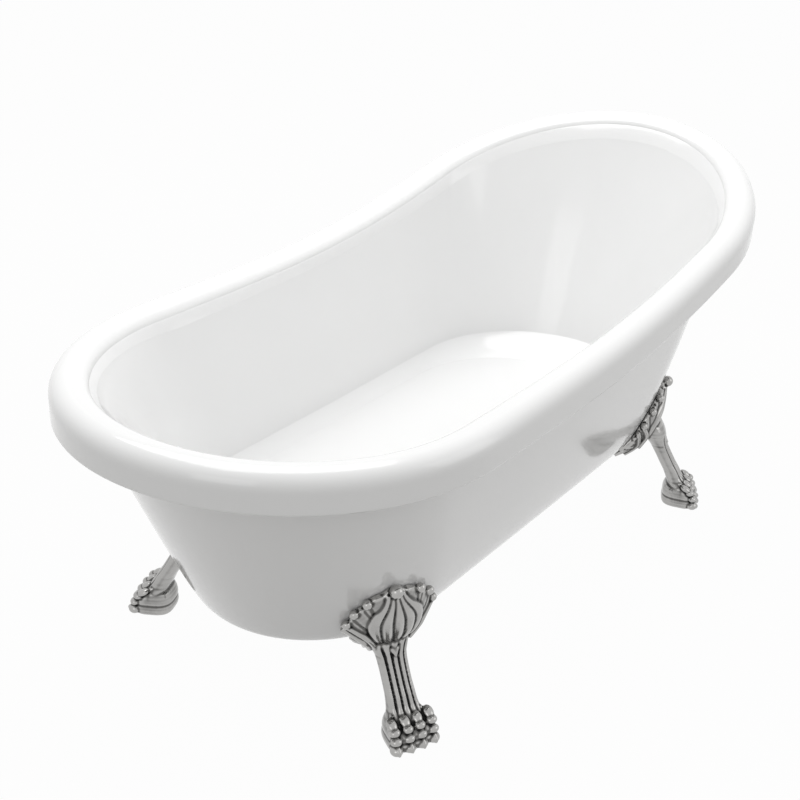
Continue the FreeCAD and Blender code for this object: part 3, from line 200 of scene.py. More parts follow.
# %% [markdown]
# ## The outline of the bath
# Seen from above, every level of the bath is a stadium: two straight sides and two
# half-ellipse ends. A place on it is a part, a share along that part and a side. The
# sizes are the real ones, in millimetres, and MM turns them into metres.

# %% Sizes of the tub
MM = 0.001
LENGTH = 1700.0
WIDTH = 775.0
LOW_CAP = 1.10
HIGH_CAP = 1.06
RIM_LOW = 617.0
RIM_DIP = 594.0
RIM_HIGH = 772.0
DIP_STATION = -250.0
RIM_TOP = 65.0
OUTER_ROLL = 30.0
INNER_ROLL = 18.0
RIM_FALL = 6.0
BAND_DEPTH = 66.0
SHEET = 5.0
FLOOR_HEIGHT = 255.0
FLOOR_HALF_WIDTH = 212.0
FLOOR_ENDS = (-545.0, 452.0)
FOOT_RISE = 30.0
WELL_HALF_WIDTH = 250.0
WELL_ENDS = (-606.0, 588.0)
SKIRT_INSET = 61.0
SIDE_DRAW = 130.0
LOW_DRAW = 184.0
HIGH_DRAW = 321.0
SKIRT_BOTTOM = 160.0
SKIRT_ROUND = 4.4
SIDE_LEAN, SIDE_TUCK = 0.56, 0.44
LOW_LEAN, LOW_TUCK = 0.94, 0.06
HIGH_LEAN, HIGH_TUCK = 0.47, 0.53
CAP_STEPS = 36
SIDE_STEPS = 24


def walk_round():
    """Once round the tub as (part, share, side)."""
    walk = [("low", 90.0 * step / CAP_STEPS, -1) for step in range(CAP_STEPS)]
    walk += [("side", step / SIDE_STEPS, -1) for step in range(SIDE_STEPS)]
    walk += [("high", 90.0 - 90.0 * step / CAP_STEPS, -1) for step in range(CAP_STEPS)]
    walk += [("high", 90.0 * step / CAP_STEPS, 1) for step in range(CAP_STEPS)]
    walk += [("side", 1.0 - step / SIDE_STEPS, 1) for step in range(SIDE_STEPS)]
    walk += [("low", 90.0 - 90.0 * step / CAP_STEPS, 1) for step in range(CAP_STEPS)]
    return walk


def outline(place, low_end, high_end, half):
    """One point of a stadium that runs from low_end to high_end."""
    part, share, side = place
    turn = math.radians(share)
    if part == "low":
        return low_end + LOW_CAP * half * (1 - math.cos(turn)), side * half * math.sin(turn)
    if part == "high":
        return high_end - HIGH_CAP * half * (1 - math.cos(turn)), side * half * math.sin(turn)
    start = low_end + LOW_CAP * half
    finish = high_end - HIGH_CAP * half
    return start + (finish - start) * share, side * half


WALK = walk_round()
print("stations round the tub:", len(WALK))

# %% [markdown]
# The rim dips near the low end and climbs to the backrest. Its section is an inner roll,
# a nearly flat top, a larger outer roll and a deep upright band.

# %% The rim's height and rings
def rim_height(x):
    """Height of the rim's crest at a distance along the bath."""
    half = LENGTH / 2
    if x < DIP_STATION:
        share = (DIP_STATION - x) / (DIP_STATION + half)
        return RIM_DIP + (RIM_LOW - RIM_DIP) * share ** 2
    share = (x - DIP_STATION) / (half - DIP_STATION)
    return RIM_DIP + (RIM_HIGH - RIM_DIP) * share ** 2 * (1 - (1 - share) ** 3)


def crest(place):
    return rim_height(outline(place, -LENGTH / 2, LENGTH / 2, WIDTH / 2)[0])


def rim_ring(inset, below):
    """A ring of the rim: set in from its outer edge, and down from its crest."""
    ring = []
    for place in WALK:
        x, y = outline(place, inset - LENGTH / 2, LENGTH / 2 - inset, WIDTH / 2 - inset)
        ring.append(Vector((x, y, crest(place) - below)))
    return ring


def well_point(place, depth):
    """Inner wall: depth 0 under the inner roll, 1 at the foot of the wall."""
    low = RIM_TOP - LENGTH / 2
    low += (WELL_ENDS[0] - low) * depth ** 0.75
    high = LENGTH / 2 - RIM_TOP
    high += (WELL_ENDS[1] - high) * depth
    half = WIDTH / 2 - RIM_TOP
    half += (WELL_HALF_WIDTH - half) * depth
    x, y = outline(place, low, high, half)
    top = crest(place) - RIM_FALL - INNER_ROLL
    foot = FLOOR_HEIGHT + FOOT_RISE
    return Vector((x, y, top + (foot - top) * depth))


print("crest at the dip:", rim_height(DIP_STATION), "mm")

# %% [markdown]
# ## The white sheets
# A sheet is a stack of rings with faces between them. The rings are close together where
# the form turns tightly, so that the gloss runs over the rolls without a step.

# %% Skins from rings
def skin_object(name, rings, closed_ends):
    """A smooth mesh over a stack of rings; closed_ends fills the first and last ring."""
    count = len(rings[0])
    points = [point * MM for ring in rings for point in ring]
    faces = []
    for row in range(len(rings) - 1):
        for index in range(count):
            after = (index + 1) % count
            faces.append((row * count + index, row * count + after,
                          (row + 1) * count + after, (row + 1) * count + index))
    for row in closed_ends:
        start = row % len(rings) * count
        faces.append(tuple(range(start, start + count)))
    data = bpy.data.meshes.new(name)
    data.from_pydata(points, [], faces)
    mesh = bmesh.new()
    mesh.from_mesh(data)
    bmesh.ops.recalc_face_normals(mesh, faces=mesh.faces)
    mesh.to_mesh(data)
    mesh.free()
    for face in data.polygons:
        face.use_smooth = True
    piece = bpy.data.objects.new(name, data)
    scene.collection.objects.link(piece)
    return piece


def eased(rings, passes):
    """Let each ring lean towards its neighbours along the walk, which softens the joins."""
    for _ in range(passes):
        for ring in rings:
            old = [point.copy() for point in ring]
            count = len(ring)
            for index in range(count):
                ring[index] = (old[index - 1] + old[index] * 2 + old[(index + 1) % count]) / 4
    return rings


def front_rings():
    """From the middle of the floor up the wall, over the rim and down the band."""
    rings = []
    for share in (0.35, 0.7, 0.9, 0.97, 1.0):
        ring = []
        for place in WALK:
            x, y = outline(place, FLOOR_ENDS[0] * share, FLOOR_ENDS[1] * share, FLOOR_HALF_WIDTH * share)
            ring.append(Vector((x, y, FLOOR_HEIGHT)))
        rings.append(ring)
    floor_ring = rings[-1]
    foot_ring = [well_point(place, 1.0) for place in WALK]
    above = [well_point(place, 0.9) for place in WALK]
    for step in range(1, 10):
        share = step / 10
        ring = []
        for low, foot, high in zip(floor_ring, foot_ring, above):
            corner = Vector((foot.x - (high.x - foot.x) * 0.55, foot.y - (high.y - foot.y) * 0.55,
                             FLOOR_HEIGHT))
            point = low * (1 - share) ** 2 + corner * 2 * share * (1 - share) + foot * share ** 2
            ring.append(point)
        rings.append(ring)
    for step in range(13):
        rings.append([well_point(place, 1.0 - step / 12) for place in WALK])
    for step in range(1, 9):
        turn = math.radians(90 * step / 8)
        rings.append(rim_ring(RIM_TOP - INNER_ROLL * (1 - math.cos(turn)),
                              RIM_FALL + INNER_ROLL * (1 - math.sin(turn))))
    for step in range(11):
        turn = math.radians(90 - 90 * step / 10)
        rings.append(rim_ring(OUTER_ROLL * (1 - math.cos(turn)), OUTER_ROLL * (1 - math.sin(turn))))
    for drop in (34.0, 44.0, 54.0, 61.0):
        rings.append(rim_ring(0.0, drop))
    return rings


EDGE_ROUND = 2.5


def basin_rings():
    """The whole sheet: the front, a rounded lower edge to the band, and the back."""
    rings = front_rings()
    rings += [rim_ring(0.0, BAND_DEPTH - EDGE_ROUND), rim_ring(0.7, BAND_DEPTH - 0.7),
              rim_ring(EDGE_ROUND, BAND_DEPTH), rim_ring(SHEET - 0.7, BAND_DEPTH - 0.7),
              rim_ring(SHEET, BAND_DEPTH - EDGE_ROUND)]
    for step in range(7):
        turn = math.radians(90 * step / 6)
        roll = OUTER_ROLL - SHEET
        rings.append(rim_ring(SHEET + roll * (1 - math.cos(turn)), SHEET + roll * (1 - math.sin(turn))))
    rings.append(rim_ring(RIM_TOP - INNER_ROLL, RIM_FALL + SHEET))
    rings.append(rim_ring(RIM_TOP + SHEET * 0.8, RIM_FALL + INNER_ROLL))
    for step in range(1, 8):
        ring = []
        for place in WALK:
            point = well_point(place, step / 7)
            outward = Vector((point.x, point.y, 0)).normalized()
            ring.append(point + outward * SHEET * 0.95 - Vector((0, 0, 0.3 * SHEET)))
        rings.append(ring)
    bottom = []
    for place in WALK:
        x, y = outline(place, FLOOR_ENDS[0], FLOOR_ENDS[1], FLOOR_HALF_WIDTH)
        bottom.append(Vector((x, y, FLOOR_HEIGHT - SHEET)))
    rings.append(bottom)
    return rings


well = skin_object("bath_well", eased(basin_rings(), 2), (0, -1))
print("well faces:", len(well.data.polygons))

# %% [markdown]
# The drain and the overflow go through the sheet. Their holes are cut with short rods, and
# the rods are removed again. The overflow stands square to the sloping end wall.

# %% Cutting holes
DRAIN = Vector((-400.0, 0.0, FLOOR_HEIGHT))
OVERFLOW = Vector((-732.86, 0.0, 525.0))
OVERFLOW_AXIS = Vector((0.79356, 0.0, 0.60849))


def rod_between(name, start, finish, radius, sides=64):
    """A closed straight rod between two points, in millimetres."""
    mesh = bmesh.new()
    length = (finish - start).length
    bmesh.ops.create_cone(mesh, cap_ends=True, segments=sides, radius1=radius * MM,
                          radius2=radius * MM, depth=length * MM)
    turn = (finish - start).to_track_quat("Z", "Y").to_matrix().to_4x4()
    mesh.transform(Matrix.Translation((start + finish) / 2 * MM) @ turn)
    data = bpy.data.meshes.new(name)
    mesh.to_mesh(data)
    mesh.free()
    rod = bpy.data.objects.new(name, data)
    scene.collection.objects.link(rod)
    return rod


def finished(piece, modifier):
    """Apply one modifier to a mesh piece."""
    with bpy.context.temp_override(object=piece, active_object=piece):
        bpy.ops.object.modifier_apply(modifier=modifier.name)


def cut_with(piece, cutters):
    """Cut closed pieces out of a piece, and remove the cutters."""
    for cutter in cutters:
        modifier = piece.modifiers.new("cut", "BOOLEAN")
        modifier.operation = "DIFFERENCE"
        modifier.solver = "EXACT"
        modifier.object = cutter
        finished(piece, modifier)
        bpy.data.objects.remove(cutter)


down = Vector((0, 0, 1))
drain_cut = rod_between("drain_cut", DRAIN - down * 12, DRAIN + down * 4, 26.0)
overflow_cut = rod_between("overflow_cut", OVERFLOW - OVERFLOW_AXIS * 14, OVERFLOW + OVERFLOW_AXIS * 5, 20.0)
cut_with(well, [drain_cut, overflow_cut])
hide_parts("basin")
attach(well, "tub")
print("well with its two holes:", len(well.data.polygons), "faces")

# %% [markdown]
# ## The skirt
# The skirt starts under the rim and draws in towards a flat bottom. Low down it tucks in
# along a superellipse, which gives the full, round belly. The same function tells the feet
# where the skirt is.

# %% The skirt as a surface
def skirt_point(place, level, depth=0.0):
    """A point of the skirt; level 0 is under the band and 1 is the flat bottom."""
    tuck = 1 - (1 - level ** SKIRT_ROUND) ** (1 / SKIRT_ROUND)
    inset = SKIRT_INSET + depth
    half = WIDTH / 2 - inset - SIDE_DRAW * (SIDE_LEAN * level + SIDE_TUCK * tuck)
    low = inset - LENGTH / 2 + LOW_DRAW * (LOW_LEAN * level + LOW_TUCK * tuck)
    high = LENGTH / 2 - inset - HIGH_DRAW * (HIGH_LEAN * level + HIGH_TUCK * tuck)
    x, y = outline(place, low, high, half)
    top = crest(place) - BAND_DEPTH
    return Vector((x, y, top + (SKIRT_BOTTOM + depth - top) * level))


SKIRT_SHEET = 4.0
FLARE_INSET = 41.6
FLARE_BELOW = 11.6


def skirt_side(depth):
    """Rings of one face of the skirt, close together where it turns under."""
    levels = [0.08 * step for step in range(10)] + [0.8, 0.84, 0.88, 0.91, 0.94, 0.96, 0.975, 0.985]
    levels += [0.992, 0.996, 0.999, 1.0]
    rings = [rim_ring(FLARE_INSET + depth, FLARE_BELOW)]
    return rings + [[skirt_point(place, level, depth) for place in WALK] for level in levels]


skirt_rings = skirt_side(0.0)[::-1] + skirt_side(SKIRT_SHEET)
skirt = skin_object("bath_skirt", eased(skirt_rings, 2), (0, -1))
under = Vector((DRAIN.x, 0, SKIRT_BOTTOM))
cut_with(skirt, [rod_between("tail_cut", under - down * 3, under + down * 9, 34.0)])
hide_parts("outer_skirt")
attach(skirt, "tub")
print("skirt faces:", len(skirt.data.polygons))

# %% [markdown]
# ## Where a foot stands
# Each foot has its own place on the skirt. From there it uses two frames: one that follows
# the curved skirt, for the leaf, and a level one that points away from the bath, for the
# leg and the paw. Left feet are worked out, and right feet are their mirror images.

# %% Foot frames
FOOT_ANGLE = {"low": 66.0, "high": 64.0}
PAW_REACH = {"low": 67.0, "high": 97.0}
ANCHOR_HEIGHT = 230.0
LEFT = -1


def skirt_level(place, height):
    top = crest(place) - BAND_DEPTH
    return min((top - height) / (top - SKIRT_BOTTOM), 1.0)


def skirt_place(end, along, height):
    """The skirt's face at a height and a distance along it from the foot's station."""
    station = FOOT_ANGLE[end]
    level = skirt_level((end, station, LEFT), height)
    near = skirt_point((end, station - 0.5, LEFT), level)
    far = skirt_point((end, station + 0.5, LEFT), level)
    per_degree = (far - near).length
    angle = station - along / per_degree
    place = (end, angle, LEFT)
    if angle > 90:
        first = skirt_point(("side", 0.0, LEFT), level)
        last = skirt_point(("side", 1.0, LEFT), level)
        share = (angle - 90) * per_degree / (last - first).length
        place = ("side", share if end == "low" else 1 - share, LEFT)
    return skirt_point(place, skirt_level(place, height))


def off_skirt(end, along, height, proud):
    """A point that stands a distance out from the skirt."""
    across = skirt_place(end, along + 1, height) - skirt_place(end, along - 1, height)
    upward = skirt_place(end, along, height + 1) - skirt_place(end, along, height - 1)
    normal = across.cross(upward).normalized()
    if normal.y > 0:
        normal = -normal
    return skirt_place(end, along, height) + normal * proud


def foot_axes(end):
    anchor = skirt_place(end, 0, ANCHOR_HEIGHT)
    outward = off_skirt(end, 0, ANCHOR_HEIGHT, 1.0) - anchor
    outward.z = 0
    outward.normalize()
    return anchor, outward, Vector((0, 0, 1)).cross(outward)


FOOT_AXES = {end: foot_axes(end) for end in ("low", "high")}


def foot_spot(end, reach, across, height):
    """A point of the level frame: out from the skirt, sideways and above the floor."""
    anchor, outward, sideways = FOOT_AXES[end]
    spot = anchor + outward * reach + sideways * across
    return Vector((spot.x, spot.y, height))


for end in ("low", "high"):
    print(end, "foot stands at", tuple(round(value, 1) for value in FOOT_AXES[end][0]))

# %% [markdown]
# ## The claw foot
# A cast foot is one flowing lump, so it is made as one would in clay. Many closed lumps
# are laid over each other: a leaf, a fan in front of it, ridges, beads, a fluted leg, a
# paw and its knuckles. A voxel remesh then melts them into one skin, and a little smoothing
# rounds the joins as casting and polishing do.

# %% Lumps of clay
def add_lump(mesh, rings):
    """Add a closed lump: a stack of rings with its first and last ring filled."""
    rows = [[mesh.verts.new(point * MM) for point in ring] for ring in rings]
    count = len(rows[0])
    for lower, upper in zip(rows, rows[1:]):
        for index in range(count):
            after = (index + 1) % count
            mesh.faces.new((lower[index], lower[after], upper[after], upper[index]))
    mesh.faces.new(rows[0][::-1])
    mesh.faces.new(rows[-1])


def add_bead(mesh, centre, radii, lean=None):
    """Add a smooth rounded bead; radii are along its own three axes."""
    turn = lean or Matrix.Identity(3)
    stretch = Matrix.Diagonal([radius * MM for radius in radii]).to_4x4()
    place = Matrix.Translation(centre * MM) @ turn.to_4x4() @ stretch
    bmesh.ops.create_icosphere(mesh, subdivisions=4, radius=1.0, matrix=place)


def add_ridge(mesh, points, radii):
    """Add a tapering cord of clay along a smooth line through some points."""
    line = []
    last = len(points) - 1
    for index in range(last):
        before = points[max(index - 1, 0)]
        after = points[min(index + 2, last)]
        for step in range(8):
            t = step / 8
            here, there = points[index], points[index + 1]
            spot = 0.5 * (2 * here + (there - before) * t
                          + (2 * before - 5 * here + 4 * there - after) * t ** 2
                          + (3 * here - before - 3 * there + after) * t ** 3)
            line.append((spot, radii[index] * (1 - t) + radii[index + 1] * t))
    line.append((points[last], radii[last]))
    rings = []
    for index, (spot, radius) in enumerate(line):
        ahead = line[min(index + 1, len(line) - 1)][0] - line[max(index - 1, 0)][0]
        ahead.normalize()
        side = ahead.cross(Vector((0, 0, 1))).normalized()
        top = side.cross(ahead)
        rings.append([spot + side * radius * math.cos(turn) + top * radius * math.sin(turn)
                      for turn in [2 * math.pi * step / 12 for step in range(12)]])
    add_lump(mesh, rings)


def smooth_share(value):
    value = min(max(value, 0.0), 1.0)
    return value * value * (3 - 2 * value)


print("clay helpers ready")

# %% [markdown]
# The crown is a leaf that follows the skirt. Its flutes spread from the root like the ribs
# of a shell, with sharp valleys between them. A second fan lies in front of it, narrows
# downwards and ends in a small point on the leg.

# %% The leaf
LEAF_BASE = 176.0
LEAF_TALL = 128.0
LEAF_WING = 106.0
WING_ANGLE = 55.0
LEAF_SPAN = 100.0
LEAF_BACK = 1.0
LEAF_EDGE = 6
LEAF_DOME = 25
LEAF_RIBS = 9
WING_DRAW = 0.42
FAN_TIP, FAN_TALL = 146.0, 139.0
FAN_WIDEST, FAN_HALF, FAN_DRAW = 0.6, 50.0, 34.0


def leaf_reach(angle):
    lean = abs(angle)
    if lean <= WING_ANGLE:
        return LEAF_TALL + (LEAF_WING - LEAF_TALL) * lean / WING_ANGLE
    return LEAF_WING * (1 - WING_DRAW * (lean - WING_ANGLE) / (LEAF_SPAN - WING_ANGLE))


def leaf_proud(angle, share):
    """How far the leaf's dome and flutes stand off the skirt."""
    bent = angle + 7 * share * math.copysign(1, angle)
    ridge = abs(math.cos(math.radians(90.0 * LEAF_RIBS * bent / LEAF_SPAN)))
    dome = LEAF_EDGE + LEAF_DOME * (1 - min(share, 1.0) ** 2)
    dimple = 9 * math.exp(-((abs(angle) - 47) / 5) ** 2 - ((share - 0.52) / 0.07) ** 2)
    return dome + 5.0 * math.sqrt(ridge) * math.sqrt(share) - dimple


def add_leaf(mesh, end):
    shares = [0.14, 0.22, 0.3, 0.38, 0.45, 0.52, 0.6, 0.68, 0.76, 0.84, 0.91, 0.96, 1.0]
    rings = []
    for column in range(121):
        angle = LEAF_SPAN * (2.0 * column / 120 - 1)
        ridge = abs(math.cos(math.radians(90.0 * LEAF_RIBS * angle / LEAF_SPAN)))
        reach = leaf_reach(angle) * (0.87 + 0.05 * math.sqrt(ridge))
        front = []
        back = []
        for share in shares:
            along = reach * share * math.sin(math.radians(angle))
            height = max(LEAF_BASE + reach * share * math.cos(math.radians(angle)), SKIRT_BOTTOM + 5)
            front.append(off_skirt(end, along, height, leaf_proud(angle, share)))
            back.append(off_skirt(end, along, height, LEAF_BACK))
        rings.append(front + back[::-1])
    add_lump(mesh, rings)


def leg_front(end, height):
    """Front of the leg at a height, as a reach out from the skirt."""
    share = (height - 58.0) / 138.0
    return PAW_REACH[end] - 14 - 72 * share ** 0.92 + 20.5


def fan_point(end, across, rise, proud):
    """A point of the fan; across runs from -1 to 1 and rise from the tip to the top."""
    height = FAN_TIP + FAN_TALL * rise
    if rise < FAN_WIDEST:
        half = FAN_HALF * math.sin(math.pi / 2 * rise / FAN_WIDEST) ** 1.15
    else:
        half = FAN_HALF - FAN_DRAW * smooth_share((rise - FAN_WIDEST) / 0.4)
    along = across * (half + 1.5)
    if height > LEAF_BASE:
        angle = math.degrees(math.atan2(along, height - LEAF_BASE))
        share = math.hypot(along, height - LEAF_BASE) / leaf_reach(angle)
        stand = LEAF_EDGE + LEAF_DOME * (1 - min(share, 1.0) ** 2)
    else:
        stand = LEAF_EDGE + LEAF_DOME
    on_leaf = off_skirt(end, along, max(height, SKIRT_BOTTOM + 6), stand + proud)
    on_leg = foot_spot(end, leg_front(end, height) + proud - 3, -along, height)
    share = smooth_share((height - 160.0) / 34.0)
    return on_leg * (1 - share) + on_leaf * share


def add_fan(mesh, end):
    rings = []
    for column in range(81):
        across = 2.0 * column / 80 - 1
        ridge = math.sqrt(abs(math.cos(math.pi * 2.5 * across)))
        front = []
        back = []
        for step in range(31):
            rise = step / 30
            swell = 4.0 + 6.0 * smooth_share(rise * 2) * ridge - 4.0 * abs(across) ** 4
            front.append(fan_point(end, across, rise, swell * (1 - 0.5 * smooth_share(rise * 3 - 2))))
            back.append(fan_point(end, across, rise, -5.0))
        rings.append(front + back[::-1])
    add_lump(mesh, rings)


print("leaf from", LEAF_BASE, "to", LEAF_BASE + LEAF_TALL, "mm")

# %% [markdown]
# Round beads climb both edges of the leaf to a large one at the top. Three rolled ridges
# run from each wing tip down into the leg, like the folds of an acanthus leaf.

# %% Beads and scrolls
BEADS = [(0.0, 0.905, 12.0), (27.0, 0.93, 8.8), (43.0, 0.94, 8.4), (59.0, 0.94, 8.0)]


def add_beads(mesh, end):
    for lean, share, radius in BEADS:
        for angle in sorted({lean, -lean}):
            reach = leaf_reach(angle) * share
            along = reach * math.sin(math.radians(angle))
            height = LEAF_BASE + reach * math.cos(math.radians(angle))
            add_bead(mesh, off_skirt(end, along, height, radius * 0.95 + 2.5), (radius,) * 3)


SCROLLS = [([(88, 212, 7), (64, 196, 13), (42, 180, 22), (27, 166, 27)], (4.5, 7.5, 8.5, 5.0)),
           ([(90, 226, 8), (66, 212, 17), (46, 198, 27), (30, 178, 34)], (4.0, 5.5, 6.0, 4.0)),
           ([(76, 198, 6), (56, 184, 10), (38, 171, 16), (26, 162, 20)], (5.0, 6.5, 7.0, 5.0))]


def add_scrolls(mesh, end):
    for stops, radii in SCROLLS:
        for side in (-1, 1):
            points = [off_skirt(end, side * along, height, max(proud, radius + LEAF_BACK))
                      for (along, height, proud), radius in zip(stops, radii)]
            add_ridge(mesh, points, radii)


print("beads:", len(BEADS) * 2 - 1, "scrolls:", len(SCROLLS) * 2)

# %% [markdown]
# The leg is a short column with four deep flutes in front and plain sides. It flares where
# it meets the leaf and the paw. Near the bath, each level is kept just off the skirt, so
# that the casting follows the white sheet without touching it.

# %% The leg
LEG_LEVELS = [(36, 0, 1.30), (44, -4, 1.22), (52, -9, 1.12), (60, -14.5, 1.0), (70, -20, 0.94),
              (84, -27, 0.9), (100, -37, 0.88), (118, -47, 0.88), (134, -56, 0.9), (146, -62, 0.95),
              (154, -66, 1.06), (159, -69, 1.14), (163, -71, 1.2), (168, -73, 1.26),
              (175, -76, 1.3), (184, -80, 1.3), (196, -86, 1.25)]
LEG_WIDTH = 30.0
LEG_DEPTH = 20.0
LEG_POINTS = 96
FLUTES = (-0.63, -0.21, 0.21, 0.63)


def skirt_reach(end, across, height):
    """How far out the skirt stands in a foot's level frame."""
    anchor, outward, _ = FOOT_AXES[end]
    return (skirt_place(end, across, height) - anchor).dot(outward)


def rounded(value, power):
    return math.copysign(abs(value) ** power, value)


def add_leg(mesh, end):
    rings = []
    for height, back, swell in LEG_LEVELS:
        depth_of_flute = 7.5 * smooth_share((height - 54) / 14) * smooth_share((176 - height) / 26)
        ring = []
        for index in range(LEG_POINTS):
            turn = 2 * math.pi * index / LEG_POINTS
            forward = rounded(math.cos(turn), 0.8)
            across = rounded(math.sin(turn), 0.8)
            cut = sum(math.exp(-((across - flute) / 0.075) ** 2) for flute in FLUTES)
            reach = PAW_REACH[end] + back + LEG_DEPTH * swell * forward
            if forward > 0:
                reach -= depth_of_flute * cut * min(forward * 2.5, 1.0)
            side = LEG_WIDTH * swell * across
            if height > SKIRT_BOTTOM:
                reach = max(reach, skirt_reach(end, -side, height) + 1.2)
            ring.append(foot_spot(end, reach, side, height))
        rings.append(ring)
    add_lump(mesh, rings)


print("leg levels:", len(LEG_LEVELS))

# %% [markdown]
# The paw is a broad box with a sloping top. Four toes lie in front, and each has two
# knuckles, one above the other, and a blunt claw that reaches almost to the floor.

# %% The paw
PAW_LEVELS = [(3.2, 0.93, 5), (7, 0.975, 2.5), (13, 1.0, 1.5), (20, 0.985, 1.5), (24, 0.96, 3.5),
              (28, 0.985, 4), (34, 0.98, 6), (41, 0.95, 12), (48, 0.89, 19), (54, 0.8, 25),
              (60, 0.71, 29)]
PAW_LENGTH = 80.0
PAW_WIDTH = 47.0
PAW_POINTS = 96
TOES = (-35.0, -11.8, 11.8, 35.0)


def add_paw(mesh, end):
    rings = []
    for height, swell, pull in PAW_LEVELS:
        ring = []
        for index in range(PAW_POINTS):
            turn = 2 * math.pi * index / PAW_POINTS
            forward = rounded(math.cos(turn), 0.62)
            across = rounded(math.sin(turn), 0.62)
            reach = PAW_LENGTH / 2 * forward * swell
            if forward > 0:
                reach -= (pull + 1.0) * min(forward * 1.4, 1.0)
            width = PAW_WIDTH * swell * (0.88 + 0.12 * forward)
            ring.append(foot_spot(end, PAW_REACH[end] + reach, across * width, height))
        rings.append(ring)
    add_lump(mesh, rings)


TOE_LUMPS = [(12.0, 52.5, (13.0, 9.5, 6.5), 28), (22.5, 44.0, (9.5, 10.6, 7.6), 0),
             (29.5, 29.5, (9.0, 10.9, 7.6), 0), (31.0, 12.6, (12.0, 11.8, 9.6), 0)]


def add_toes(mesh, end):
    _, outward, sideways = FOOT_AXES[end]
    lean_axis = Matrix((outward, sideways, Vector((0, 0, 1)))).transposed()
    for across in TOES:
        spread = 1 + 0.03 * abs(across) / 35
        back = 2.5 * (abs(across) / 35) ** 2
        for reach, height, radii, tip in TOE_LUMPS:
            centre = foot_spot(end, PAW_REACH[end] + reach - back, across * spread, height)
            lean = lean_axis @ Matrix.Rotation(math.radians(tip), 3, "Y")
            add_bead(mesh, centre, radii, lean)
        claw = [foot_spot(end, PAW_REACH[end] + 33 - back, across * spread, 20),
                foot_spot(end, PAW_REACH[end] + 41.5 - back, across * spread, 13.5),
                foot_spot(end, PAW_REACH[end] + 41.0 - back, across * spread, 6.5)]
        add_ridge(mesh, claw, (4.5, 3.6, 2.0))


print("toes:", len(TOES), "lumps in each:", len(TOE_LUMPS) + 1)

# %% [markdown]
# Melting the lumps needs a grid fine enough for the flutes. After it the heel is hollowed
# for the levelling gear. Last, each point is asked how hollow its surroundings are, and
# the answer is kept on the mesh as a mask for painted shade in the recesses.

# %% Cast one foot
VOXEL = 1.5
STUD_BACK = 14.0
HOLLOW_RADIUS = 21.0
HOLLOW_ROOF = 14.8
BORE_RADIUS = 5.4
BORE_TOP = 58.0


def mark_hollows(data, reach=3):
    """Keep a mask on the mesh: 0 on ridges, about 0.5 on flats and 1 in deep hollows."""
    mesh = bmesh.new()
    mesh.from_mesh(data)
    mesh.verts.ensure_lookup_table()
    values = []
    for vert in mesh.verts:
        middle = Vector((0, 0, 0))
        for edge in vert.link_edges:
            middle += edge.other_vert(vert).co
        middle /= len(vert.link_edges)
        values.append((middle - vert.co).dot(vert.normal) / (VOXEL * MM))
    neighbours = [[edge.other_vert(vert).index for edge in vert.link_edges] for vert in mesh.verts]
    for _ in range(reach):
        values = [(values[index] * 2 + sum(values[other] for other in near)) / (2 + len(near))
                  for index, near in enumerate(neighbours)]
    mesh.free()
    mask = data.attributes.new("hollow", "FLOAT", "POINT")
    mask.data.foreach_set("value", [min(max(0.5 + value * 5.0, 0.0), 1.0) for value in values])


def cast_foot(end):
    """A left foot as one melted and smoothed skin."""
    mesh = bmesh.new()
    add_leaf(mesh, end)
    add_fan(mesh, end)
    add_beads(mesh, end)
    add_scrolls(mesh, end)
    add_leg(mesh, end)
    add_paw(mesh, end)
    add_toes(mesh, end)
    bmesh.ops.recalc_face_normals(mesh, faces=mesh.faces)
    data = bpy.data.meshes.new("foot_" + end)
    mesh.to_mesh(data)
    mesh.free()
    foot = bpy.data.objects.new("claw_" + end + "_left", data)
    scene.collection.objects.link(foot)
    melt = foot.modifiers.new("melt", "REMESH")
    melt.mode = "VOXEL"
    melt.voxel_size = VOXEL * MM
    finished(foot, melt)
    polish = foot.modifiers.new("polish", "SMOOTH")
    polish.factor = 0.5
    polish.iterations = 2
    finished(foot, polish)
    stud = foot_spot(end, PAW_REACH[end] - STUD_BACK, 0, 0)
    hollow = rod_between("hollow", stud - down, stud + down * HOLLOW_ROOF, HOLLOW_RADIUS, 8)
    bore = rod_between("bore", stud, stud + down * BORE_TOP, BORE_RADIUS, 24)
    cut_with(foot, [hollow, bore])
    mark_hollows(foot.data)
    for face in foot.data.polygons:
        face.use_smooth = True
    return foot


def mirror_foot(foot, name):
    """The right foot of a pair."""
    data = foot.data.copy()
    data.transform(Matrix.Diagonal((1, -1, 1, 1)))
    data.flip_normals()
    right = bpy.data.objects.new(name, data)
    scene.collection.objects.link(right)
    return right


feet = []
for end in ("low", "high"):
    left = cast_foot(end)
    right = mirror_foot(left, "claw_" + end + "_right")
    for foot, side in ((left, "left"), (right, "right")):
        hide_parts("claw_foot_" + end + "_" + side)
        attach(foot, "tub")
        feet.append(foot)
    print(end, "foot:", len(left.data.polygons), "faces")

# %% [markdown]
# ## Finishes
# Every finish uses the same small effects: a fine grain that lifts the surface a little, a
# soft clouding that varies the gloss, and the mask of hollows. Each effect is a node group,
# built once and placed in each material with its own numbers.

# %% Shared shader groups
def new_group(name, inputs, outputs):
    """An empty shader group with named number inputs and named outputs."""
    group = bpy.data.node_groups.new(name, "ShaderNodeTree")
    for label, value in inputs:
        socket = group.interface.new_socket(label, in_out="INPUT", socket_type="NodeSocketFloat")
        socket.default_value = value
    for label in outputs:
        group.interface.new_socket(label, in_out="OUTPUT", socket_type="NodeSocketFloat")
    return group, group.nodes.new("NodeGroupInput"), group.nodes.new("NodeGroupOutput")


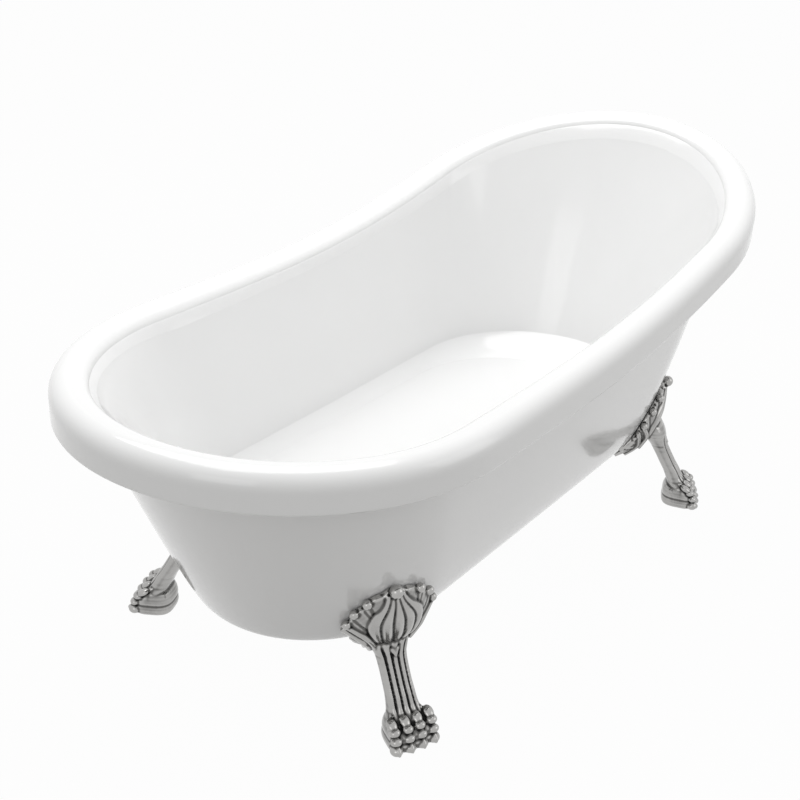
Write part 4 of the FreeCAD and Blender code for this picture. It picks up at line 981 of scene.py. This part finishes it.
def noise_into(tree, scale, detail):
    """Noise that keeps its place on the object, with its scale on its own socket or linked."""
    place = tree.nodes.new("ShaderNodeTexCoord")
    noise = tree.nodes.new("ShaderNodeTexNoise")
    noise.inputs["Detail"].default_value = detail
    tree.links.new(place.outputs["Object"], noise.inputs["Vector"])
    if isinstance(scale, (int, float)):
        noise.inputs["Scale"].default_value = scale
    else:
        tree.links.new(scale, noise.inputs["Scale"])
    return noise.outputs["Fac"]


def span(tree, value, low, high):
    """Stretch a 0 to 1 value over low to high."""
    node = tree.nodes.new("ShaderNodeMapRange")
    tree.links.new(value, node.inputs["Value"])
    for label, end_value in (("To Min", low), ("To Max", high)):
        if isinstance(end_value, (int, float)):
            node.inputs[label].default_value = end_value
        else:
            tree.links.new(end_value, node.inputs[label])
    return node.outputs["Result"]


def make_clouding():
    """Soft large clouds that run between two numbers."""
    group, given, out = new_group("clouding", [("Scale", 6.0), ("Low", 0.1), ("High", 0.2)], ["Value"])
    cloud = noise_into(group, given.outputs["Scale"], 3.0)
    group.links.new(span(group, cloud, given.outputs["Low"], given.outputs["High"]), out.inputs["Value"])
    return group


def make_grain():
    """Height of a fine skin grain: two sizes of noise, one nine times finer."""
    group, given, out = new_group("fine_grain", [("Scale", 300.0), ("Fine Share", 0.4)], ["Height"])
    coarse = noise_into(group, given.outputs["Scale"], 2.0)
    finer = group.nodes.new("ShaderNodeMath")
    finer.operation = "MULTIPLY"
    finer.inputs[1].default_value = 9.0
    group.links.new(given.outputs["Scale"], finer.inputs[0])
    fine = noise_into(group, finer.outputs[0], 1.0)
    mix = group.nodes.new("ShaderNodeMix")
    group.links.new(given.outputs["Fine Share"], mix.inputs["Factor"])
    group.links.new(coarse, mix.inputs["A"])
    group.links.new(fine, mix.inputs["B"])
    group.links.new(mix.outputs["Result"], out.inputs["Height"])
    return group


def make_recess():
    """Mask of deep hollows, from the mesh's own mark; Start and End set where it rises."""
    group, given, out = new_group("recess", [("Start", 0.55), ("End", 0.9)], ["Mask"])
    mark = group.nodes.new("ShaderNodeAttribute")
    mark.attribute_name = "hollow"
    step = group.nodes.new("ShaderNodeMapRange")
    step.interpolation_type = "SMOOTHSTEP"
    group.links.new(mark.outputs["Fac"], step.inputs["Value"])
    group.links.new(given.outputs["Start"], step.inputs["From Min"])
    group.links.new(given.outputs["End"], step.inputs["From Max"])
    group.links.new(step.outputs["Result"], out.inputs["Mask"])
    return group


CLOUDING = make_clouding()
GRAIN = make_grain()
RECESS = make_recess()
print("groups:", CLOUDING.name, GRAIN.name, RECESS.name)

# %% [markdown]
# A finish starts from the Principled shader. Its constant numbers sit on its own sockets.
# The clouding feeds the roughness and a little of the colour, and the grain feeds a bump.

# %% A finish from a few numbers
def placed(tree, group, **values):
    node = tree.nodes.new("ShaderNodeGroup")
    node.node_tree = group
    for label, value in values.items():
        node.inputs[label.replace("_", " ")].default_value = value
    return node.outputs[0]


def two_colours(tree, mask, first, second):
    """A colour that runs from first to second with a mask."""
    mix = tree.nodes.new("ShaderNodeMix")
    mix.data_type = "RGBA"
    tree.links.new(mask, mix.inputs["Factor"])
    colours = [socket for socket in mix.inputs if socket.type == "RGBA"]
    for socket, colour in zip(colours, (first, second)):
        if isinstance(colour, tuple):
            socket.default_value = (*colour, 1.0)
        else:
            tree.links.new(colour, socket)
    return [socket for socket in mix.outputs if socket.type == "RGBA"][0]


def start_finish(name, rough, cloud_scale, grain_scale, bump, **plain):
    """A material with clouded roughness and a fine bump; returns it, its tree and shader."""
    material = bpy.data.materials.new(name)
    material.use_nodes = True
    tree = material.node_tree
    shader = tree.nodes["Principled BSDF"]
    for label, value in plain.items():
        shader.inputs[label.replace("_", " ")].default_value = value
    cloud = placed(tree, CLOUDING, Scale=cloud_scale, Low=rough[0], High=rough[1])
    tree.links.new(cloud, shader.inputs["Roughness"])
    raise_it = node_of(tree, "ShaderNodeBump", Strength=bump[0], Distance=bump[1])
    tree.links.new(placed(tree, GRAIN, Scale=grain_scale), raise_it.inputs["Height"])
    tree.links.new(raise_it.outputs["Normal"], shader.inputs["Normal"])
    return material, tree, shader


def cloud_colour(tree, shader, scale, first, second):
    """Base colour that wanders softly between two close colours."""
    mask = placed(tree, CLOUDING, Scale=scale, Low=0.0, High=1.0)
    colour = two_colours(tree, mask, first, second)
    tree.links.new(colour, shader.inputs["Base Color"])
    return colour


print("finish helpers ready")

# %% [markdown]
# The white sheet is acrylic: nearly pure white, hard and wet-looking, with a clear coat
# that mirrors the room. Real sheet ripples very slightly, so the bump is long and low.

# %% White acrylic
def make_acrylic():
    material, tree, shader = start_finish("gloss_white_acrylic", (0.1, 0.16), 5.0, 14.0, (0.05, 0.002),
                                          Coat_Weight=0.35, Coat_Roughness=0.03, IOR=1.49)
    cloud_colour(tree, shader, 3.0, (0.86, 0.862, 0.86), (0.88, 0.88, 0.876))
    return material


FINISHES = {"gloss_white_acrylic": make_acrylic()}
print(FINISHES["gloss_white_acrylic"].name)

# %% [markdown]
# The feet are polished castings with a bright silver-grey skin. That bright colour is a
# painted highlight on the ridges. Painted shade darkens the flats and turns the valleys almost
# black, and the valleys are also duller. The mask of hollows makes both.

# %% Polished casting
def make_casting():
    material, tree, shader = start_finish("brushed_nickel_casting", (0.12, 0.2), 30.0, 420.0,
                                          (0.12, 0.0006), Metallic=1.0)
    bright = cloud_colour(tree, shader, 25.0, (0.34, 0.336, 0.328), (0.46, 0.455, 0.445))
    # Painted light: the ridges keep the bright colour as a painted highlight, the flats are painted darker,
    # and the deep hollows are painted almost black as painted shade.
    ridge_highlight_fade = placed(tree, RECESS, Start=0.38, End=0.56)
    mask = placed(tree, RECESS, Start=0.58, End=0.84)
    painted_highlight_and_shade = two_colours(tree, ridge_highlight_fade, bright, (0.115, 0.113, 0.109))
    colour = two_colours(tree, mask, painted_highlight_and_shade, (0.012, 0.012, 0.012))
    tree.links.new(colour, shader.inputs["Base Color"])
    rough = placed(tree, CLOUDING, Scale=30.0, Low=0.12, High=0.2)
    dull = tree.nodes.new("ShaderNodeMix")
    dull.inputs["B"].default_value = 0.42
    tree.links.new(mask, dull.inputs["Factor"])
    tree.links.new(rough, dull.inputs["A"])
    tree.links.new(dull.outputs["Result"], shader.inputs["Roughness"])
    return material


FINISHES["brushed_nickel_casting"] = make_casting()
print(FINISHES["brushed_nickel_casting"].name)

# %% [markdown]
# The waste and the overflow are chrome plate, which is smoother and bluer than the feet.
# The hidden fixings are zinc-plated steel with a faint spangle of crystals.

# %% Chrome and zinc
def make_chrome():
    material, tree, shader = start_finish("chrome_trim", (0.04, 0.09), 22.0, 500.0, (0.03, 0.0003),
                                          Metallic=1.0)
    cloud_colour(tree, shader, 18.0, (0.76, 0.77, 0.785), (0.82, 0.83, 0.84))
    return material


def make_zinc():
    material, tree, shader = start_finish("zinc_steel", (0.28, 0.42), 40.0, 350.0, (0.15, 0.0005),
                                          Metallic=1.0)
    cells = node_of(tree, "ShaderNodeTexVoronoi", Scale=160.0)
    place = tree.nodes.new("ShaderNodeTexCoord")
    tree.links.new(place.outputs["Object"], cells.inputs["Vector"])
    spangle = two_colours(tree, cells.outputs["Distance"], (0.54, 0.55, 0.56), (0.68, 0.685, 0.68))
    tree.links.new(spangle, shader.inputs["Base Color"])
    return material


FINISHES["chrome_trim"] = make_chrome()
FINISHES["zinc_steel"] = make_zinc()
print("metals:", [name for name in FINISHES if "acrylic" not in name])

# %% [markdown]
# The board that stiffens the floor is ply, with grain drawn out along the bath. The rest
# is black rubber, white pipe, a black nylon pad and the dark sheath of the control cable.

# %% Board, rubber and plastics
def make_board():
    material, tree, shader = start_finish("board_wood", (0.5, 0.65), 20.0, 260.0, (0.25, 0.0008))
    place = tree.nodes.new("ShaderNodeTexCoord")
    drawn = tree.nodes.new("ShaderNodeMapping")
    drawn.inputs["Scale"].default_value = (2.0, 40.0, 40.0)
    rings = node_of(tree, "ShaderNodeTexNoise", Scale=2.2, Detail=6.0, Distortion=1.2)
    tree.links.new(place.outputs["Object"], drawn.inputs["Vector"])
    tree.links.new(drawn.outputs["Vector"], rings.inputs["Vector"])
    grain = two_colours(tree, rings.outputs["Fac"], (0.78, 0.62, 0.42), (0.5, 0.34, 0.19))
    tree.links.new(grain, shader.inputs["Base Color"])
    return material


def make_plain(name, rough, scale, first, second, bump):
    material, tree, shader = start_finish(name, rough, scale, 320.0, bump)
    cloud_colour(tree, shader, scale, first, second)
    return material


FINISHES["board_wood"] = make_board()
FINISHES["black_rubber"] = make_plain("black_rubber", (0.55, 0.72), 45.0, (0.022, 0.022, 0.022),
                                      (0.045, 0.045, 0.046), (0.3, 0.0006))
FINISHES["white_pipe_plastic"] = make_plain("white_pipe_plastic", (0.28, 0.4), 12.0, (0.82, 0.82, 0.81),
                                            (0.87, 0.87, 0.86), (0.1, 0.0005))
FINISHES["black_pad_plastic"] = make_plain("black_pad_plastic", (0.4, 0.55), 50.0, (0.035, 0.035, 0.036),
                                           (0.065, 0.065, 0.066), (0.25, 0.0006))
FINISHES["cable_sheath"] = make_plain("cable_sheath", (0.42, 0.55), 60.0, (0.09, 0.09, 0.1),
                                      (0.14, 0.14, 0.15), (0.3, 0.0005))
print("finishes:", len(FINISHES))

# %% [markdown]
# Each CAD node that stays in view takes the finish that the record names for it, and the
# new pieces take theirs from the same list.

# %% Dress the nodes and the new pieces
def dress(piece, finish):
    piece.data.materials.clear()
    piece.data.materials.append(finish)


for row in frame["record"]["subparts"]:
    piece = frame["nodes"].get(row["node"])
    if piece is not None:
        for slot in piece.material_slots:
            slot.material = FINISHES[row["material_slot"]]
for piece in (well, skirt):
    dress(piece, FINISHES["gloss_white_acrylic"])
for piece in feet:
    dress(piece, FINISHES["brushed_nickel_casting"])
